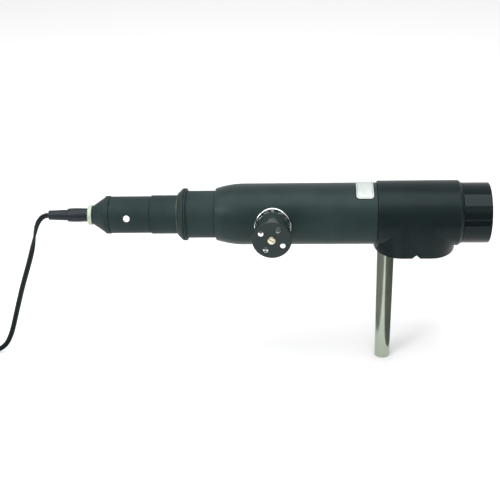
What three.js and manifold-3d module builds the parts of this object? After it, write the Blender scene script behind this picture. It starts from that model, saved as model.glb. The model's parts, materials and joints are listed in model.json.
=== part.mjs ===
// Tube-type optometer head on a post: a lamp unit, a neck with a clamp, a main tube with a focus knob,
// a head with an objective and a hood, and a low-voltage lead.
// Millimetres, +Z up. X runs along the optical axis towards the hood and the knob is on the -Y side.
// The origin is the middle of the post's foot, which stands on z = 0.
import * as THREE from 'three';
import { mergeVertices } from 'three/addons/utils/BufferGeometryUtils.js';
import Module from 'manifold-3d';

const wasm = await Module();
wasm.setup();

// ---- driving dimensions ----

const AXIS_HEIGHT = 132.5; // of the optical axis above the post's foot
const GAP = 0.3; // between pieces that touch
const RUNNING = 0.3; // round a piece that slides or turns
const SIDES = 32; // of the large round pieces
const FINE_SIDES = 16; // of the small ones

// main tube: its nose is a rounded cone
const MAIN_RADIUS = 24.55;
const MAIN_WALL = 1.95;
const MAIN_LEFT = -136.1;
const MAIN_SHOULDER = -113;
const MAIN_BORE_LEFT = -119.6; // where its wide bore ends
const MAIN_RIGHT = -8.1;
const NOSE_RADIUS = 20.9;
const NOSE_STEPS = 6;

// head: a cylinder with a flat-fronted boss under it
const HEAD_STEP = 1.4; // how far it stands out from the main tube
const HEAD_RIGHT = 57.6;
const HEAD_CHAMFER = 2.3;
const HEAD_BORE = 20.5;
const SPIGOT_LENGTH = 3; // of the main tube in the head
const SPIGOT_STEP = 1.15;
const BOSS_DROP = 2.05; // how far the boss reaches below the head
const BOSS_FLAT_LEFT = 11;
const BOSS_FLAT_RIGHT = 33.5;
const BOSS_END = 21; // length of its half-oval ends
const GROOVE_X = 22.1;
const GROOVE_WIDTH = 7;
const GROOVE_DEPTH = 3.1;

// hood
const HOOD_STEP = 0.55; // how far it stands in from the main tube
const HOOD_RIGHT = 79.5;
const HOOD_WALL = 2.4;
const HOOD_SPIGOT_LENGTH = 9;
const HOOD_SPIGOT_STEP = 1.6;
const HOOD_SPIGOT_WALL = 2.6;

// objective: a cemented pair of lenses in a cell
const CELL_LEFT = 14;
const CELL_RIGHT = 44;
const CELL_SHOULDER = 6;
const CELL_WALL = 2.2;
const LENS_EDGE = 3.2;
const JOIN_CURVE = 45; // radius of the two lenses' shared surface
const FRONT_CURVE = 60;

// post
const POST_TOP_RADIUS = 6.96;
const POST_FOOT_RADIUS = 6.27;
const WASHER_THICKNESS = 1.6;
const WASHER_OVERHANG = 1.4;
const STUD_RADIUS = 4;
const STUD_IN_POST = 12;
const STUD_IN_BOSS = 6;

// neck and its clamp
const NECK_WALL = 3.1;
const NECK_LEFT = -159.4;
const NECK_RIGHT = -136.4;
const NECK_SPIGOT_LENGTH = 15.3;
const NECK_RIM = 2.1; // how far its rim stands out
const RIM_LENGTH = 1.3;
const THREAD_LENGTH = 3;
const THREAD_WALL = 2.05;
const NUT_LENGTH = 5.6;
const NUT_FLAT = 1.6; // of its length, where it is as wide as the neck's rim
const NUT_MOUTH_WALL = 0.55;
const COLLET_WALL = 0.45;
const COLLET_TAPER = 0.9;
const COLLET_PROUD = 0.4;
const COLLET_LENGTH = 2.8;
const COLLET_SLOT = 3;

// lamp sleeve, which slides in the neck
const SLEEVE_RADIUS = 15.55;
const SLEEVE_WALL = 1.95;
const SLEEVE_LEFT = -188.4;
const SLEEVE_RIGHT = -134;

// lamp tube and its end cone
const LAMP_STEP = 0.7; // how far it stands in from the sleeve
const LAMP_LEFT = -221.4;
const LAMP_WALL = 2.6;
const LAMP_SPIGOT_LENGTH = 12;
const CONE_LENGTH = 10.9;
const CONE_FACE_RADIUS = 7.6;
const CONE_SPIGOT_LENGTH = 8;
const RIDGE_LENGTH = 3.8;
const RIDGE_PROUD = 0.5;
const LOCATING_SCREW_X = -206.8;
const LOCATING_SCREW_RADIUS = 2.75;
const LOCATING_SCREW_ANGLE = 79; // degrees down the front from the top
const LOCATING_SCREW_HEAD = 1.7;
const LOCATING_SCREW_SHANK = 1.4;

// lamp
const HOLDER_LENGTH = 8;
const LAMP_CAP_RADIUS = 4.8;
const LAMP_CAP_LENGTH = 11;
const BULB_RADIUS = 6.2;
const GLASS_WALL = 0.7;
const WIRE_RADIUS = 0.6;
const WIRE_OFFSET = 3;

// condenser
const DIFFUSER_THICKNESS = 2;
const CONDENSER_EDGE = 2.5;
const CONDENSER_CURVE = 23;
const RETAINER_LENGTH = 3;
const RETAINER_WALL = 1.8;

// socket and plug
const SOCKET_RING_RADIUS = 8.1;
const SOCKET_RING_LENGTH = 3.3;
const PLUG_TIP_RADIUS = 2.75;
const PLUG_TIP_LENGTH = 12.3;
const SOCKET_WALL = 1.6;
const SOCKET_PIN_RADIUS = 0.95;
const PLUG_RADIUS = 5.65;
const PLUG_LENGTH = 16.7;
const RELIEF_RADIUS = 4.6;
const RELIEF_TIP_RADIUS = 3.3;
const RELIEF_LENGTH = 15.6;

// focus knob, its shaft and its gears
const KNOB_X = -90;
const KNOB_RADIUS = 15.2;
const KNOB_BACK_RADIUS = 13.4;
const KNOB_LENGTH = 21.8;
const KNOB_EDGE = 1.3;
const KNOB_SCREW_RADIUS = 3.15;
const KNOB_SCREW_HEAD = 1.7;
const KNOB_SCREW_SHANK = 1.5;
const SLOT_WIDTH = 0.8;
const SLOT_DEPTH = 0.7;
const SLOT_TURN = 30; // degrees down to the right
const STUD_HOLE_RADIUS = 2.6;
const STUD_HOLE_DEPTH = 3.2;
const STUD_CIRCLE = 9.7;
const STUD_TURN = 59;
const STUD_COUNT = 4;
const STUD_SET_BACK = 0.7; // of the studs' domes below the knob's face
const FLANGE_RADIUS = 14.5;
const FLANGE_PROUD = 1.35;
const FLANGE_SEAT_RADIUS = 10; // of its flat middle, which the friction washer lies on
const FRICTION_WASHER = 0.5;
const FRICTION_WASHER_RADIUS = 9;
const SHAFT_RADIUS = 2.5;
const BUSH_WALL = 1.9;
const BUSH_INSIDE = 1.6; // how far it stands inside the main tube
const GEAR_MODULE = 0.6;
const PINION_TEETH = 16;
const GEAR_WIDTH = 5;
const BACKLASH = 0.3;

// carriage, which the rack moves along the main tube
const CARRIAGE_LEFT = -70;
const CARRIAGE_RIGHT = -18;
const CARRIAGE_COLLAR = 8;
const CARRIAGE_RADIUS = 15.5;
const CARRIAGE_BORE = 12.5;
const CARRIAGE_SHOULDER = 1.5;
const CARRIAGE_TRAVEL = 12;
const RACK_THICKNESS = 3.4;
const RACK_SEAT_LENGTH = 16;
const TARGET_THICKNESS = 1.8;
const BAFFLE_X = -121.6; // its right face, in the neck's bore
const BAFFLE_LENGTH = 2;
const BAFFLE_HOLE = 9;

// label plate
const LABEL_LEFT = -24.9;
const LABEL_LENGTH = 13.5;
const LABEL_FROM = -32; // degrees from the top, positive towards the knob's side
const LABEL_TO = 38.7;
const LABEL_THICKNESS = 0.5;
const LABEL_CORNER = 2.4;

// lead: its route is chosen by hand and lies in these points
const CORD_DIAMETER = 4.4;
const CORD_ROUTE = [
  [-273.9, 0, 132.3], [-276.0, 0, 131.9], [-278.9, 0, 130.5], [-281.7, 0, 127.6], [-284.2, 0, 123.2],
  [-286.4, 0, 117.2], [-288.4, 0, 110.2], [-291.0, 0, 101.4], [-294.6, 0, 91.0], [-298.4, 0, 81.0],
  [-302.1, 0, 71.4], [-305.7, 0, 61.6], [-309.4, 0, 50.8], [-313.2, 0, 39.6], [-317.0, 0, 28.4],
  [-321.2, 0, 17.8], [-326.4, 0, 9.2], [-333.0, 0, 4.2], [-341.6, 0, 2.5], [-350.8, 0, 2.5],
];
const CORD_STEPS = 36;
const CORD_SIDES = 8;
const COIL_X = -366;
const COIL_Y = -30.75;
const COIL_RADIUS = 27; // at the middle of its turns
const COIL_BOTTOM = 0.1;
const COIL_LAYER = 4.6; // the flat lead stands on edge in its turns
const COIL_TURN = 2.5; // from one turn to the next in a layer
const LOWER_TURNS = 4;
const UPPER_TURNS = 3;
const TAIL_ROUTE = [
  [-376.0, -6.0, 12.2], [-381.6, -9.2, 12.6], [-386.4, -13.4, 13.4], [-389.8, -18.2, 14.3],
  [-391.4, -23.2, 14.7], [-391.6, -28.0, 14.7],
];
const TAIL_STEPS = 8;
const FAR_PLUG_LENGTH = 22;
const FAR_PLUG_RADIUS = 5;
const FAR_PIN_LENGTH = 9;
const FAR_PIN_RADIUS = 1;
const FAR_PIN_OFFSET = 2.6;

// ---- values that follow from them ----

const MAIN_BORE = MAIN_RADIUS - MAIN_WALL;
const HEAD_RADIUS = MAIN_RADIUS + HEAD_STEP;
const SPIGOT_RADIUS = MAIN_RADIUS - SPIGOT_STEP;
const BOSS_BOTTOM = AXIS_HEIGHT - HEAD_RADIUS - BOSS_DROP;
const HOOD_RADIUS = MAIN_RADIUS - HOOD_STEP;
const CELL_RADIUS = HEAD_BORE - GAP;
const LENS_RADIUS = CELL_RADIUS - CELL_WALL - GAP;
const NECK_BORE = SLEEVE_RADIUS + RUNNING;
const NECK_RADIUS = NECK_BORE + NECK_WALL;
const NECK_SPIGOT_RADIUS = NECK_RADIUS - 2.05;
const NECK_TIP = NECK_LEFT - RIM_LENGTH - THREAD_LENGTH;
const NECK_THREAD_RADIUS = NECK_BORE + THREAD_WALL;
const SLEEVE_BORE = SLEEVE_RADIUS - SLEEVE_WALL;
const LAMP_RADIUS = SLEEVE_RADIUS - LAMP_STEP;
const LAMP_BORE = LAMP_RADIUS - LAMP_WALL;
const LAMP_SPIGOT_RADIUS = SLEEVE_BORE - GAP;
const CONE_RIGHT = LAMP_LEFT - RIDGE_LENGTH - GAP;
const CONE_LEFT = CONE_RIGHT - CONE_LENGTH;
const SOCKET_BORE = PLUG_TIP_RADIUS + RUNNING;
const SOCKET_RADIUS = SOCKET_BORE + SOCKET_WALL;
const SOCKET_LEFT = CONE_LEFT - GAP;
const PLUG_RIGHT = SOCKET_LEFT - SOCKET_RING_LENGTH - GAP;
const FLANGE_FACE = -MAIN_RADIUS - FLANGE_PROUD;
const KNOB_BACK = FLANGE_FACE - FRICTION_WASHER - 2 * GAP;
const KNOB_FACE = KNOB_BACK - KNOB_LENGTH;
const BUSH_RADIUS = SHAFT_RADIUS + RUNNING + BUSH_WALL;
const PITCH_RADIUS = (GEAR_MODULE * PINION_TEETH) / 2;
const TOOTH_PITCH = Math.PI * GEAR_MODULE;
const COLLAR_RADIUS = MAIN_BORE - RUNNING;
const RACK_BACK = PITCH_RADIUS + 1.2 * GEAR_MODULE + RACK_THICKNESS;
const RACK_REACH = Math.sqrt(COLLAR_RADIUS ** 2 - RACK_BACK ** 2); // where its outer corner meets the bore
const PINION_FRONT = -Math.min(MAIN_BORE - BUSH_INSIDE - 2 * GAP, RACK_REACH);
const PINION_BACK = PINION_FRONT + GEAR_WIDTH;
const RACK_LEFT = KNOB_X - CARRIAGE_TRAVEL - PITCH_RADIUS;

// ---- solids ----

/** Turns a geometry's triangles round if they face inwards, so that its volume is positive. */
function facingOut(geometry) {
  const place = geometry.getAttribute('position');
  const index = geometry.index;
  const corner = (i) => new THREE.Vector3().fromBufferAttribute(place, index.getX(i));
  let volume = 0;
  for (let i = 0; i < index.count; i += 3) {
    volume += corner(i).dot(corner(i + 1).cross(corner(i + 2)));
  }
  if (volume < 0) {
    for (let i = 0; i < index.count; i += 3) {
      const first = index.getX(i);
      index.setX(i, index.getX(i + 2));
      index.setX(i + 2, first);
    }
  }
  return geometry;
}

/** The same surface with shared vertices merged and the triangles that have no area left out. */
function welded(geometry) {
  const bare = new THREE.BufferGeometry();
  bare.setAttribute('position', geometry.getAttribute('position'));
  bare.setIndex(geometry.index);
  const merged = mergeVertices(bare, 1e-4);
  const kept = [];
  for (let i = 0; i < merged.index.count; i += 3) {
    const triangle = [0, 1, 2].map((k) => merged.index.getX(i + k));
    if (new Set(triangle).size === 3) {
      kept.push(...triangle);
    }
  }
  merged.setIndex(kept);
  return facingOut(merged);
}

/** A solid turned about the X axis; the outline holds [x, radius] points and closes on itself. */
function turned(outline, sides = SIDES) {
  const points = outline.map(([x, radius]) => new THREE.Vector2(radius, x));
  const onAxis = outline[0][1] === 0 && outline.at(-1)[1] === 0;
  if (!onAxis) {
    points.push(points[0].clone());
  }
  const geometry = new THREE.LatheGeometry(points, sides);
  geometry.rotateZ(-Math.PI / 2);
  return welded(geometry);
}

/** A rod about the X axis. */
function rod(left, right, radius, sides = FINE_SIDES) {
  return turned([[left, 0], [left, radius], [right, radius], [right, 0]], sides);
}

/** A tube about the X axis. */
function ring(left, right, outer, inner, sides = SIDES) {
  return turned([[left, outer], [right, outer], [right, inner], [left, inner]], sides);
}

/** A shape drawn in X and Y, pushed up along Z. */
function pushed(shape, depth, sides = SIDES) {
  const geometry = new THREE.ExtrudeGeometry(shape, { depth, bevelEnabled: false, curveSegments: sides / 4 });
  return welded(mergeVertices(geometry));
}

/** A tube of round section along a curve through the points. */
function tubeAlong(points, diameter, steps, sides) {
  const curve = new THREE.CatmullRomCurve3(points.map((point) => new THREE.Vector3(...point)));
  const section = new THREE.Shape();
  for (let i = 0; i < sides; i += 1) {
    const angle = (2 * Math.PI * i) / sides;
    const place = [(Math.cos(angle) * diameter) / 2, (Math.sin(angle) * diameter) / 2];
    if (i === 0) {
      section.moveTo(...place);
    } else {
      section.lineTo(...place);
    }
  }
  const geometry = new THREE.ExtrudeGeometry(section, { steps, extrudePath: curve, bevelEnabled: false });
  return welded(mergeVertices(geometry));
}

/** A box from its lowest to its highest corner. */
function boxBetween(low, high) {
  const size = high.map((value, k) => value - low[k]);
  const geometry = new THREE.BoxGeometry(...size);
  geometry.translate(...low.map((value, k) => value + size[k] / 2));
  return welded(geometry);
}

/** Points of a circle's arc between two heights on a lens's surface, as [x, radius]. */
function lensArc(vertex, curve, rim, bulge, steps = 4) {
  const points = [];
  for (let i = 0; i <= steps; i += 1) {
    const radius = (rim * i) / steps;
    points.push([vertex + bulge * (curve - Math.sqrt(curve * curve - radius * radius)), radius]);
  }
  return points;
}

function solidOf(geometry) {
  const mesh = new wasm.Mesh({
    numProp: 3,
    vertProperties: new Float32Array(geometry.getAttribute('position').array),
    triVerts: new Uint32Array(geometry.index.array),
  });
  return new wasm.Manifold(mesh);
}

function geometryOf(solid) {
  const mesh = solid.getMesh();
  const geometry = new THREE.BufferGeometry();
  geometry.setAttribute('position', new THREE.BufferAttribute(mesh.vertProperties, 3));
  geometry.setIndex(new THREE.BufferAttribute(mesh.triVerts, 1));
  return geometry;
}

function cut(geometry, ...tools) {
  const left = tools.reduce((solid, tool) => solid.subtract(solidOf(tool)), solidOf(geometry));
  return geometryOf(left);
}

function join(geometry, ...others) {
  const whole = others.reduce((solid, other) => solid.add(solidOf(other)), solidOf(geometry));
  return geometryOf(whole);
}

/** Lays a solid that was made about the X axis along -Y, so that its +X end points out of the knob's side. */
function outOfFront(geometry, x) {
  geometry.rotateZ(-Math.PI / 2);
  geometry.translate(x, 0, 0);
  return geometry;
}

// ---- scene ----

const materials = {
  blackPaint: [0x38464a, 0.55, 0.1],
  blackGloss: [0x22272b, 0.2, 0.1],
  blackPlastic: [0x2a3239, 0.45, 0],
  creamPlastic: [0xcfd3b8, 0.5, 0],
  whitePlastic: [0xf2f2ee, 0.5, 0],
  steel: [0xa8aaa4, 0.3, 1],
  polishedSteel: [0xdfe3e6, 0.1, 1],
  brass: [0xc9b67a, 0.3, 1],
  bronze: [0xa8824c, 0.4, 1],
  aluminium: [0x8d9195, 0.4, 1],
  glass: [0xdfe8ea, 0.05, 0],
  groundGlass: [0xe6e9e6, 0.6, 0],
  ceramic: [0xe4dfd2, 0.6, 0],
  copper: [0xb56a3c, 0.4, 1],
  rubber: [0x1c1f22, 0.6, 0],
};

const part = new THREE.Group();
const optics = new THREE.Group(); // its origin is on the optical axis
optics.position.z = AXIS_HEIGHT;
part.add(optics);

function add(group, name, geometry, finish) {
  const [color, roughness, metalness] = materials[finish];
  const mesh = new THREE.Mesh(geometry, new THREE.MeshStandardMaterial({ color, roughness, metalness }));
  mesh.name = name;
  group.add(mesh);
}

// ---- main tube ----

/** The nose's outline: an arc from the nose's face to the shoulder, level with the tube where they meet. */
function noseArc() {
  const length = MAIN_SHOULDER - MAIN_LEFT;
  const rise = MAIN_RADIUS - NOSE_RADIUS;
  const curve = (length * length + rise * rise) / (2 * rise);
  const points = [];
  for (let i = 0; i <= NOSE_STEPS; i += 1) {
    const back = length * (1 - i / NOSE_STEPS);
    points.push([MAIN_SHOULDER - back, MAIN_RADIUS - curve + Math.sqrt(curve * curve - back * back)]);
  }
  return points;
}

function makeMainTube() {
  const spigotEnd = MAIN_RIGHT + SPIGOT_LENGTH;
  const noseBore = NECK_SPIGOT_RADIUS + GAP;
  const seatEnd = NECK_RIGHT + NECK_SPIGOT_LENGTH + 2 * GAP;
  const body = turned([
    ...noseArc(),
    [MAIN_RIGHT - GAP, MAIN_RADIUS], [MAIN_RIGHT - GAP, SPIGOT_RADIUS],
    [spigotEnd, SPIGOT_RADIUS], [spigotEnd, MAIN_BORE],
    [MAIN_BORE_LEFT, MAIN_BORE], [seatEnd, noseBore], [MAIN_LEFT, noseBore],
  ]);
  const bushHole = outOfFront(rod(0, MAIN_RADIUS + 1, BUSH_RADIUS + GAP), KNOB_X);
  add(optics, 'main_tube', cut(body, bushHole), 'blackPaint');
  const baffle = ring(BAFFLE_X - BAFFLE_LENGTH, BAFFLE_X, NECK_BORE - GAP, BAFFLE_HOLE);
  add(optics, 'light_baffle', baffle, 'blackPaint');
}

function makeLabel() {
  const radius = MAIN_RADIUS + GAP;
  const cover = ring(LABEL_LEFT, LABEL_LEFT + LABEL_LENGTH, radius + LABEL_THICKNESS, radius, 2 * SIDES);
  const outline = new THREE.Shape();
  const turn = (angle) => -radius * Math.sin(THREE.MathUtils.degToRad(angle));
  const [low, high] = [turn(LABEL_TO), turn(LABEL_FROM)];
  const corner = LABEL_CORNER;
  outline.absarc(LABEL_LEFT + LABEL_LENGTH - corner, high - corner, corner, 0, Math.PI / 2, false);
  outline.absarc(LABEL_LEFT + corner, high - corner, corner, Math.PI / 2, Math.PI, false);
  outline.absarc(LABEL_LEFT + corner, low + corner, corner, Math.PI, 1.5 * Math.PI, false);
  outline.absarc(LABEL_LEFT + LABEL_LENGTH - corner, low + corner, corner, 1.5 * Math.PI, 2 * Math.PI, false);
  const plate = solidOf(cover).intersect(solidOf(pushed(outline, 2 * radius, FINE_SIDES)));
  add(optics, 'label_plate', geometryOf(plate), 'aluminium');
}

// ---- head, objective, hood and post ----

function makeHead() {
  const chamfered = HEAD_RIGHT - HEAD_CHAMFER;
  const barrel = turned([
    [MAIN_RIGHT, 0], [MAIN_RIGHT, HEAD_RADIUS], [chamfered, HEAD_RADIUS],
    [HEAD_RIGHT, HOOD_RADIUS + GAP], [HEAD_RIGHT, 0],
  ]);
  const plan = new THREE.Shape();
  plan.absellipse(BOSS_FLAT_LEFT, 0, BOSS_END, HEAD_RADIUS, Math.PI / 2, 1.5 * Math.PI, false, 0);
  plan.absellipse(BOSS_FLAT_RIGHT, 0, BOSS_END, HEAD_RADIUS, -Math.PI / 2, Math.PI / 2, false, 0);
  const boss = pushed(plan, HEAD_RADIUS + BOSS_DROP);
  boss.translate(0, 0, BOSS_BOTTOM - AXIS_HEIGHT);
  const spigotSeat = MAIN_RIGHT + SPIGOT_LENGTH + GAP;
  const hoodSeat = HEAD_RIGHT - HOOD_SPIGOT_LENGTH - 2 * GAP;
  const bore = turned([
    [-BOSS_END, 0], [-BOSS_END, MAIN_RADIUS + GAP], [MAIN_RIGHT, MAIN_RADIUS + GAP],
    [MAIN_RIGHT, SPIGOT_RADIUS + GAP], [spigotSeat, SPIGOT_RADIUS + GAP],
    [spigotSeat, HEAD_BORE], [hoodSeat, HEAD_BORE], [hoodSeat, HOOD_RADIUS - HOOD_SPIGOT_STEP + GAP],
    [HEAD_RIGHT + 1, HOOD_RADIUS - HOOD_SPIGOT_STEP + GAP], [HEAD_RIGHT + 1, 0],
  ]);
  const wedge = new THREE.Shape();
  wedge.moveTo(GROOVE_X - GROOVE_WIDTH, -GROOVE_DEPTH);
  wedge.lineTo(GROOVE_X + GROOVE_WIDTH, -GROOVE_DEPTH);
  wedge.lineTo(GROOVE_X, GROOVE_DEPTH);
  const groove = pushed(wedge, 4 * HEAD_RADIUS);
  groove.rotateX(Math.PI / 2);
  groove.translate(0, 2 * HEAD_RADIUS, BOSS_BOTTOM - AXIS_HEIGHT);
  const studHole = rod(-1, STUD_IN_BOSS + GAP, STUD_RADIUS + GAP);
  studHole.rotateY(-Math.PI / 2);
  studHole.translate(0, 0, BOSS_BOTTOM - AXIS_HEIGHT);
  add(optics, 'head_block', cut(join(barrel, boss), bore, groove, studHole), 'blackPaint');
}

function makeHood() {
  const left = HEAD_RIGHT + GAP;
  const spigotLeft = HEAD_RIGHT - HOOD_SPIGOT_LENGTH;
  const spigotRadius = HOOD_RADIUS - HOOD_SPIGOT_STEP;
  const neckBore = spigotRadius - HOOD_SPIGOT_WALL;
  const bore = HOOD_RADIUS - HOOD_WALL;
  const rim = 0.7;
  add(optics, 'hood', turned([
    [spigotLeft, spigotRadius], [left, spigotRadius], [left, HOOD_RADIUS], [HOOD_RIGHT - rim, HOOD_RADIUS],
    [HOOD_RIGHT, HOOD_RADIUS - rim], [HOOD_RIGHT, bore + rim], [HOOD_RIGHT - rim, bore],
    [left + HOOD_WALL, bore], [left, neckBore], [spigotLeft, neckBore],
  ]), 'blackGloss');
}

function makeObjective() {
  const bore = CELL_RADIUS - CELL_WALL;
  const seat = bore - 2;
  const shoulder = CELL_LEFT + CELL_SHOULDER;
  add(optics, 'objective_cell', turned([
    [CELL_LEFT, CELL_RADIUS], [CELL_RIGHT, CELL_RADIUS], [CELL_RIGHT, bore], [shoulder, bore],
    [shoulder, seat], [CELL_LEFT, seat],
  ]), 'aluminium');
  const rear = shoulder + GAP;
  const dip = JOIN_CURVE - Math.sqrt(JOIN_CURVE ** 2 - LENS_RADIUS ** 2);
  const joined = rear + LENS_EDGE;
  add(optics, 'objective_flint', turned([
    [rear, 0], [rear, LENS_RADIUS], ...lensArc(joined, JOIN_CURVE, LENS_RADIUS, 1).reverse(),
  ]), 'glass');
  const crownEdge = joined + GAP + dip;
  const rise = FRONT_CURVE - Math.sqrt(FRONT_CURVE ** 2 - LENS_RADIUS ** 2);
  const front = crownEdge + LENS_EDGE + rise;
  add(optics, 'objective_crown', turned([
    ...lensArc(joined + GAP, JOIN_CURVE, LENS_RADIUS, 1),
    ...lensArc(front, FRONT_CURVE, LENS_RADIUS, -1).reverse(),
  ]), 'glass');
  const retainer = LENS_RADIUS - RETAINER_WALL;
  const touch = front - FRONT_CURVE + Math.sqrt(FRONT_CURVE ** 2 - retainer ** 2) + GAP;
  const holding = ring(touch, touch + RETAINER_LENGTH, LENS_RADIUS, retainer);
  add(optics, 'objective_retainer', holding, 'blackPaint');
}

function makePost() {
  const washerBottom = BOSS_BOTTOM - GAP - WASHER_THICKNESS;
  const postTop = washerBottom - GAP;
  const post = turned([
    [0, 0], [0, POST_FOOT_RADIUS - 0.5], [0.5, POST_FOOT_RADIUS], [postTop, POST_TOP_RADIUS],
    [postTop, STUD_RADIUS + GAP], [postTop - STUD_IN_POST - GAP, STUD_RADIUS + GAP],
    [postTop - STUD_IN_POST - GAP, 0],
  ], 32);
  const washer = ring(
    washerBottom, washerBottom + WASHER_THICKNESS, POST_TOP_RADIUS + WASHER_OVERHANG, STUD_RADIUS + GAP, 32,
  );
  const stud = rod(postTop - STUD_IN_POST, BOSS_BOTTOM + STUD_IN_BOSS, STUD_RADIUS);
  for (const piece of [post, washer, stud]) {
    piece.rotateY(-Math.PI / 2);
  }
  add(part, 'post', post, 'steel');
  add(part, 'post_washer', washer, 'steel');
  add(part, 'post_stud', stud, 'steel');
}

// ---- neck and clamp ----

function makeNeck() {
  const rimLeft = NECK_LEFT - RIM_LENGTH;
  const rim = NECK_RADIUS + NECK_RIM;
  const round = 0.9;
  const edge = 0.2;
  const spigotRight = NECK_RIGHT + NECK_SPIGOT_LENGTH;
  add(optics, 'neck_tube', turned([
    [NECK_TIP, NECK_THREAD_RADIUS], [rimLeft, NECK_THREAD_RADIUS], [rimLeft, rim - edge],
    [rimLeft + edge, rim], [NECK_LEFT - round, rim], [NECK_LEFT, rim - round],
    [NECK_LEFT, NECK_RADIUS], [NECK_RIGHT, NECK_RADIUS], [NECK_RIGHT, NECK_SPIGOT_RADIUS],
    [spigotRight, NECK_SPIGOT_RADIUS], [spigotRight, NECK_BORE],
    [NECK_TIP, NECK_BORE],
  ]), 'blackPaint');
}

function makeClamp() {
  const right = NECK_LEFT - RIM_LENGTH - GAP;
  const left = right - NUT_LENGTH;
  const rim = NECK_RADIUS + NECK_RIM;
  const colletBore = SLEEVE_RADIUS + GAP;
  const colletMouth = colletBore + COLLET_WALL;
  const colletLeft = left - COLLET_PROUD;
  const colletRight = colletLeft + COLLET_LENGTH;
  const mouth = colletMouth + GAP;
  const threadBore = NECK_THREAD_RADIUS + GAP;
  const threadLeft = NECK_TIP - GAP;
  add(optics, 'clamp_nut', turned([
    [left, mouth + NUT_MOUTH_WALL], [right - NUT_FLAT - 0.4, rim - 0.4], [right - NUT_FLAT, rim],
    [right, rim], [right, threadBore],
    [threadLeft, threadBore], [threadLeft, mouth + COLLET_TAPER], [left, mouth],
  ]), 'blackPaint');
  const collet = turned([
    [colletLeft, colletMouth], [left, colletMouth], [colletRight, colletMouth + COLLET_TAPER / 2],
    [colletRight, colletBore], [colletLeft, colletBore],
  ]);
  const slot = boxBetween(
    [colletLeft - 1, -COLLET_SLOT / 2, -NECK_RADIUS], [colletRight + 1, COLLET_SLOT / 2, 0],
  );
  add(optics, 'collet_ring', cut(collet, slot), 'bronze');
}

// ---- lamp unit ----

function makeLampTubes() {
  const sleeveSeat = SLEEVE_LEFT + LAMP_SPIGOT_LENGTH + GAP;
  add(optics, 'lamp_sleeve', turned([
    [SLEEVE_LEFT, SLEEVE_RADIUS - 0.3], [SLEEVE_LEFT + 0.3, SLEEVE_RADIUS], [SLEEVE_RIGHT, SLEEVE_RADIUS],
    [SLEEVE_RIGHT, SLEEVE_BORE], [sleeveSeat, SLEEVE_BORE], [SLEEVE_LEFT, SLEEVE_BORE],
  ]), 'blackPaint');
  const right = SLEEVE_LEFT - GAP;
  const tube = turned([
    [LAMP_LEFT, LAMP_RADIUS], [right, LAMP_RADIUS], [right, LAMP_SPIGOT_RADIUS],
    [SLEEVE_LEFT + LAMP_SPIGOT_LENGTH, LAMP_SPIGOT_RADIUS], [SLEEVE_LEFT + LAMP_SPIGOT_LENGTH, LAMP_BORE],
    [LAMP_LEFT, LAMP_BORE],
  ]);
  const hole = atScrew(rod(LAMP_BORE - 1, LAMP_RADIUS + 1, LOCATING_SCREW_RADIUS + GAP));
  add(optics, 'lamp_tube', cut(tube, hole), 'blackPaint');
}

/** Turns a solid that was made about the X axis to point out at the locating screw. */
function atScrew(geometry) {
  geometry.rotateY(-Math.PI / 2);
  geometry.rotateX(THREE.MathUtils.degToRad(LOCATING_SCREW_ANGLE));
  geometry.translate(LOCATING_SCREW_X, 0, 0);
  return geometry;
}

function makeEndCone() {
  const ridge = LAMP_RADIUS + RIDGE_PROUD;
  const round = 0.5;
  const spigot = LAMP_BORE - GAP;
  const spigotRight = LAMP_LEFT + CONE_SPIGOT_LENGTH;
  const socketBore = SOCKET_RADIUS + GAP;
  const seat = CONE_RIGHT;
  add(optics, 'lamp_end_cone', turned([
    [CONE_LEFT, CONE_FACE_RADIUS - 1.1], [CONE_LEFT + 0.4, CONE_FACE_RADIUS - 0.3],
    [CONE_LEFT + 1.3, CONE_FACE_RADIUS + 0.4], [CONE_RIGHT, LAMP_RADIUS - 0.4],
    [CONE_RIGHT, ridge - round], [CONE_RIGHT + round, ridge], [LAMP_LEFT - GAP - round, ridge],
    [LAMP_LEFT - GAP, ridge - round], [LAMP_LEFT - GAP, spigot], [spigotRight, spigot],
    [spigotRight, spigot - 2], [seat, spigot - 2], [seat, socketBore], [CONE_LEFT, socketBore],
  ]), 'blackPaint');
}

function makeSocket() {
  const ringLeft = SOCKET_LEFT - SOCKET_RING_LENGTH;
  add(optics, 'socket_ring', turned([
    [ringLeft, SOCKET_RING_RADIUS - 0.4], [ringLeft + 0.4, SOCKET_RING_RADIUS],
    [SOCKET_LEFT, SOCKET_RING_RADIUS], [SOCKET_LEFT, SOCKET_BORE], [ringLeft, SOCKET_BORE],
  ], FINE_SIDES), 'creamPlastic');
  const left = CONE_LEFT;
  const right = CONE_RIGHT - 2 * GAP;
  add(optics, 'socket_barrel', ring(left, right, SOCKET_RADIUS, SOCKET_BORE, FINE_SIDES), 'steel');
  const base = turned([
    [right + GAP, SOCKET_PIN_RADIUS + GAP], [right + GAP, SOCKET_RADIUS + 2], [right + 3, SOCKET_RADIUS + 2],
    [right + 3, SOCKET_PIN_RADIUS + GAP],
  ], FINE_SIDES);
  base.translate(2 * GAP, 0, 0);
  const baseRight = right + 3 + 2 * GAP;
  const wireHoles = [-1, 1].map((side) => {
    const hole = rod(right - 1, baseRight + 1, WIRE_RADIUS + GAP, 12);
    hole.translate(0, side * WIRE_OFFSET, 0);
    return hole;
  });
  add(optics, 'socket_base', cut(base, ...wireHoles), 'blackPlastic');
  add(optics, 'socket_pin', rod(left + 1, baseRight + 1, SOCKET_PIN_RADIUS, 12), 'brass');
}

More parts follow.
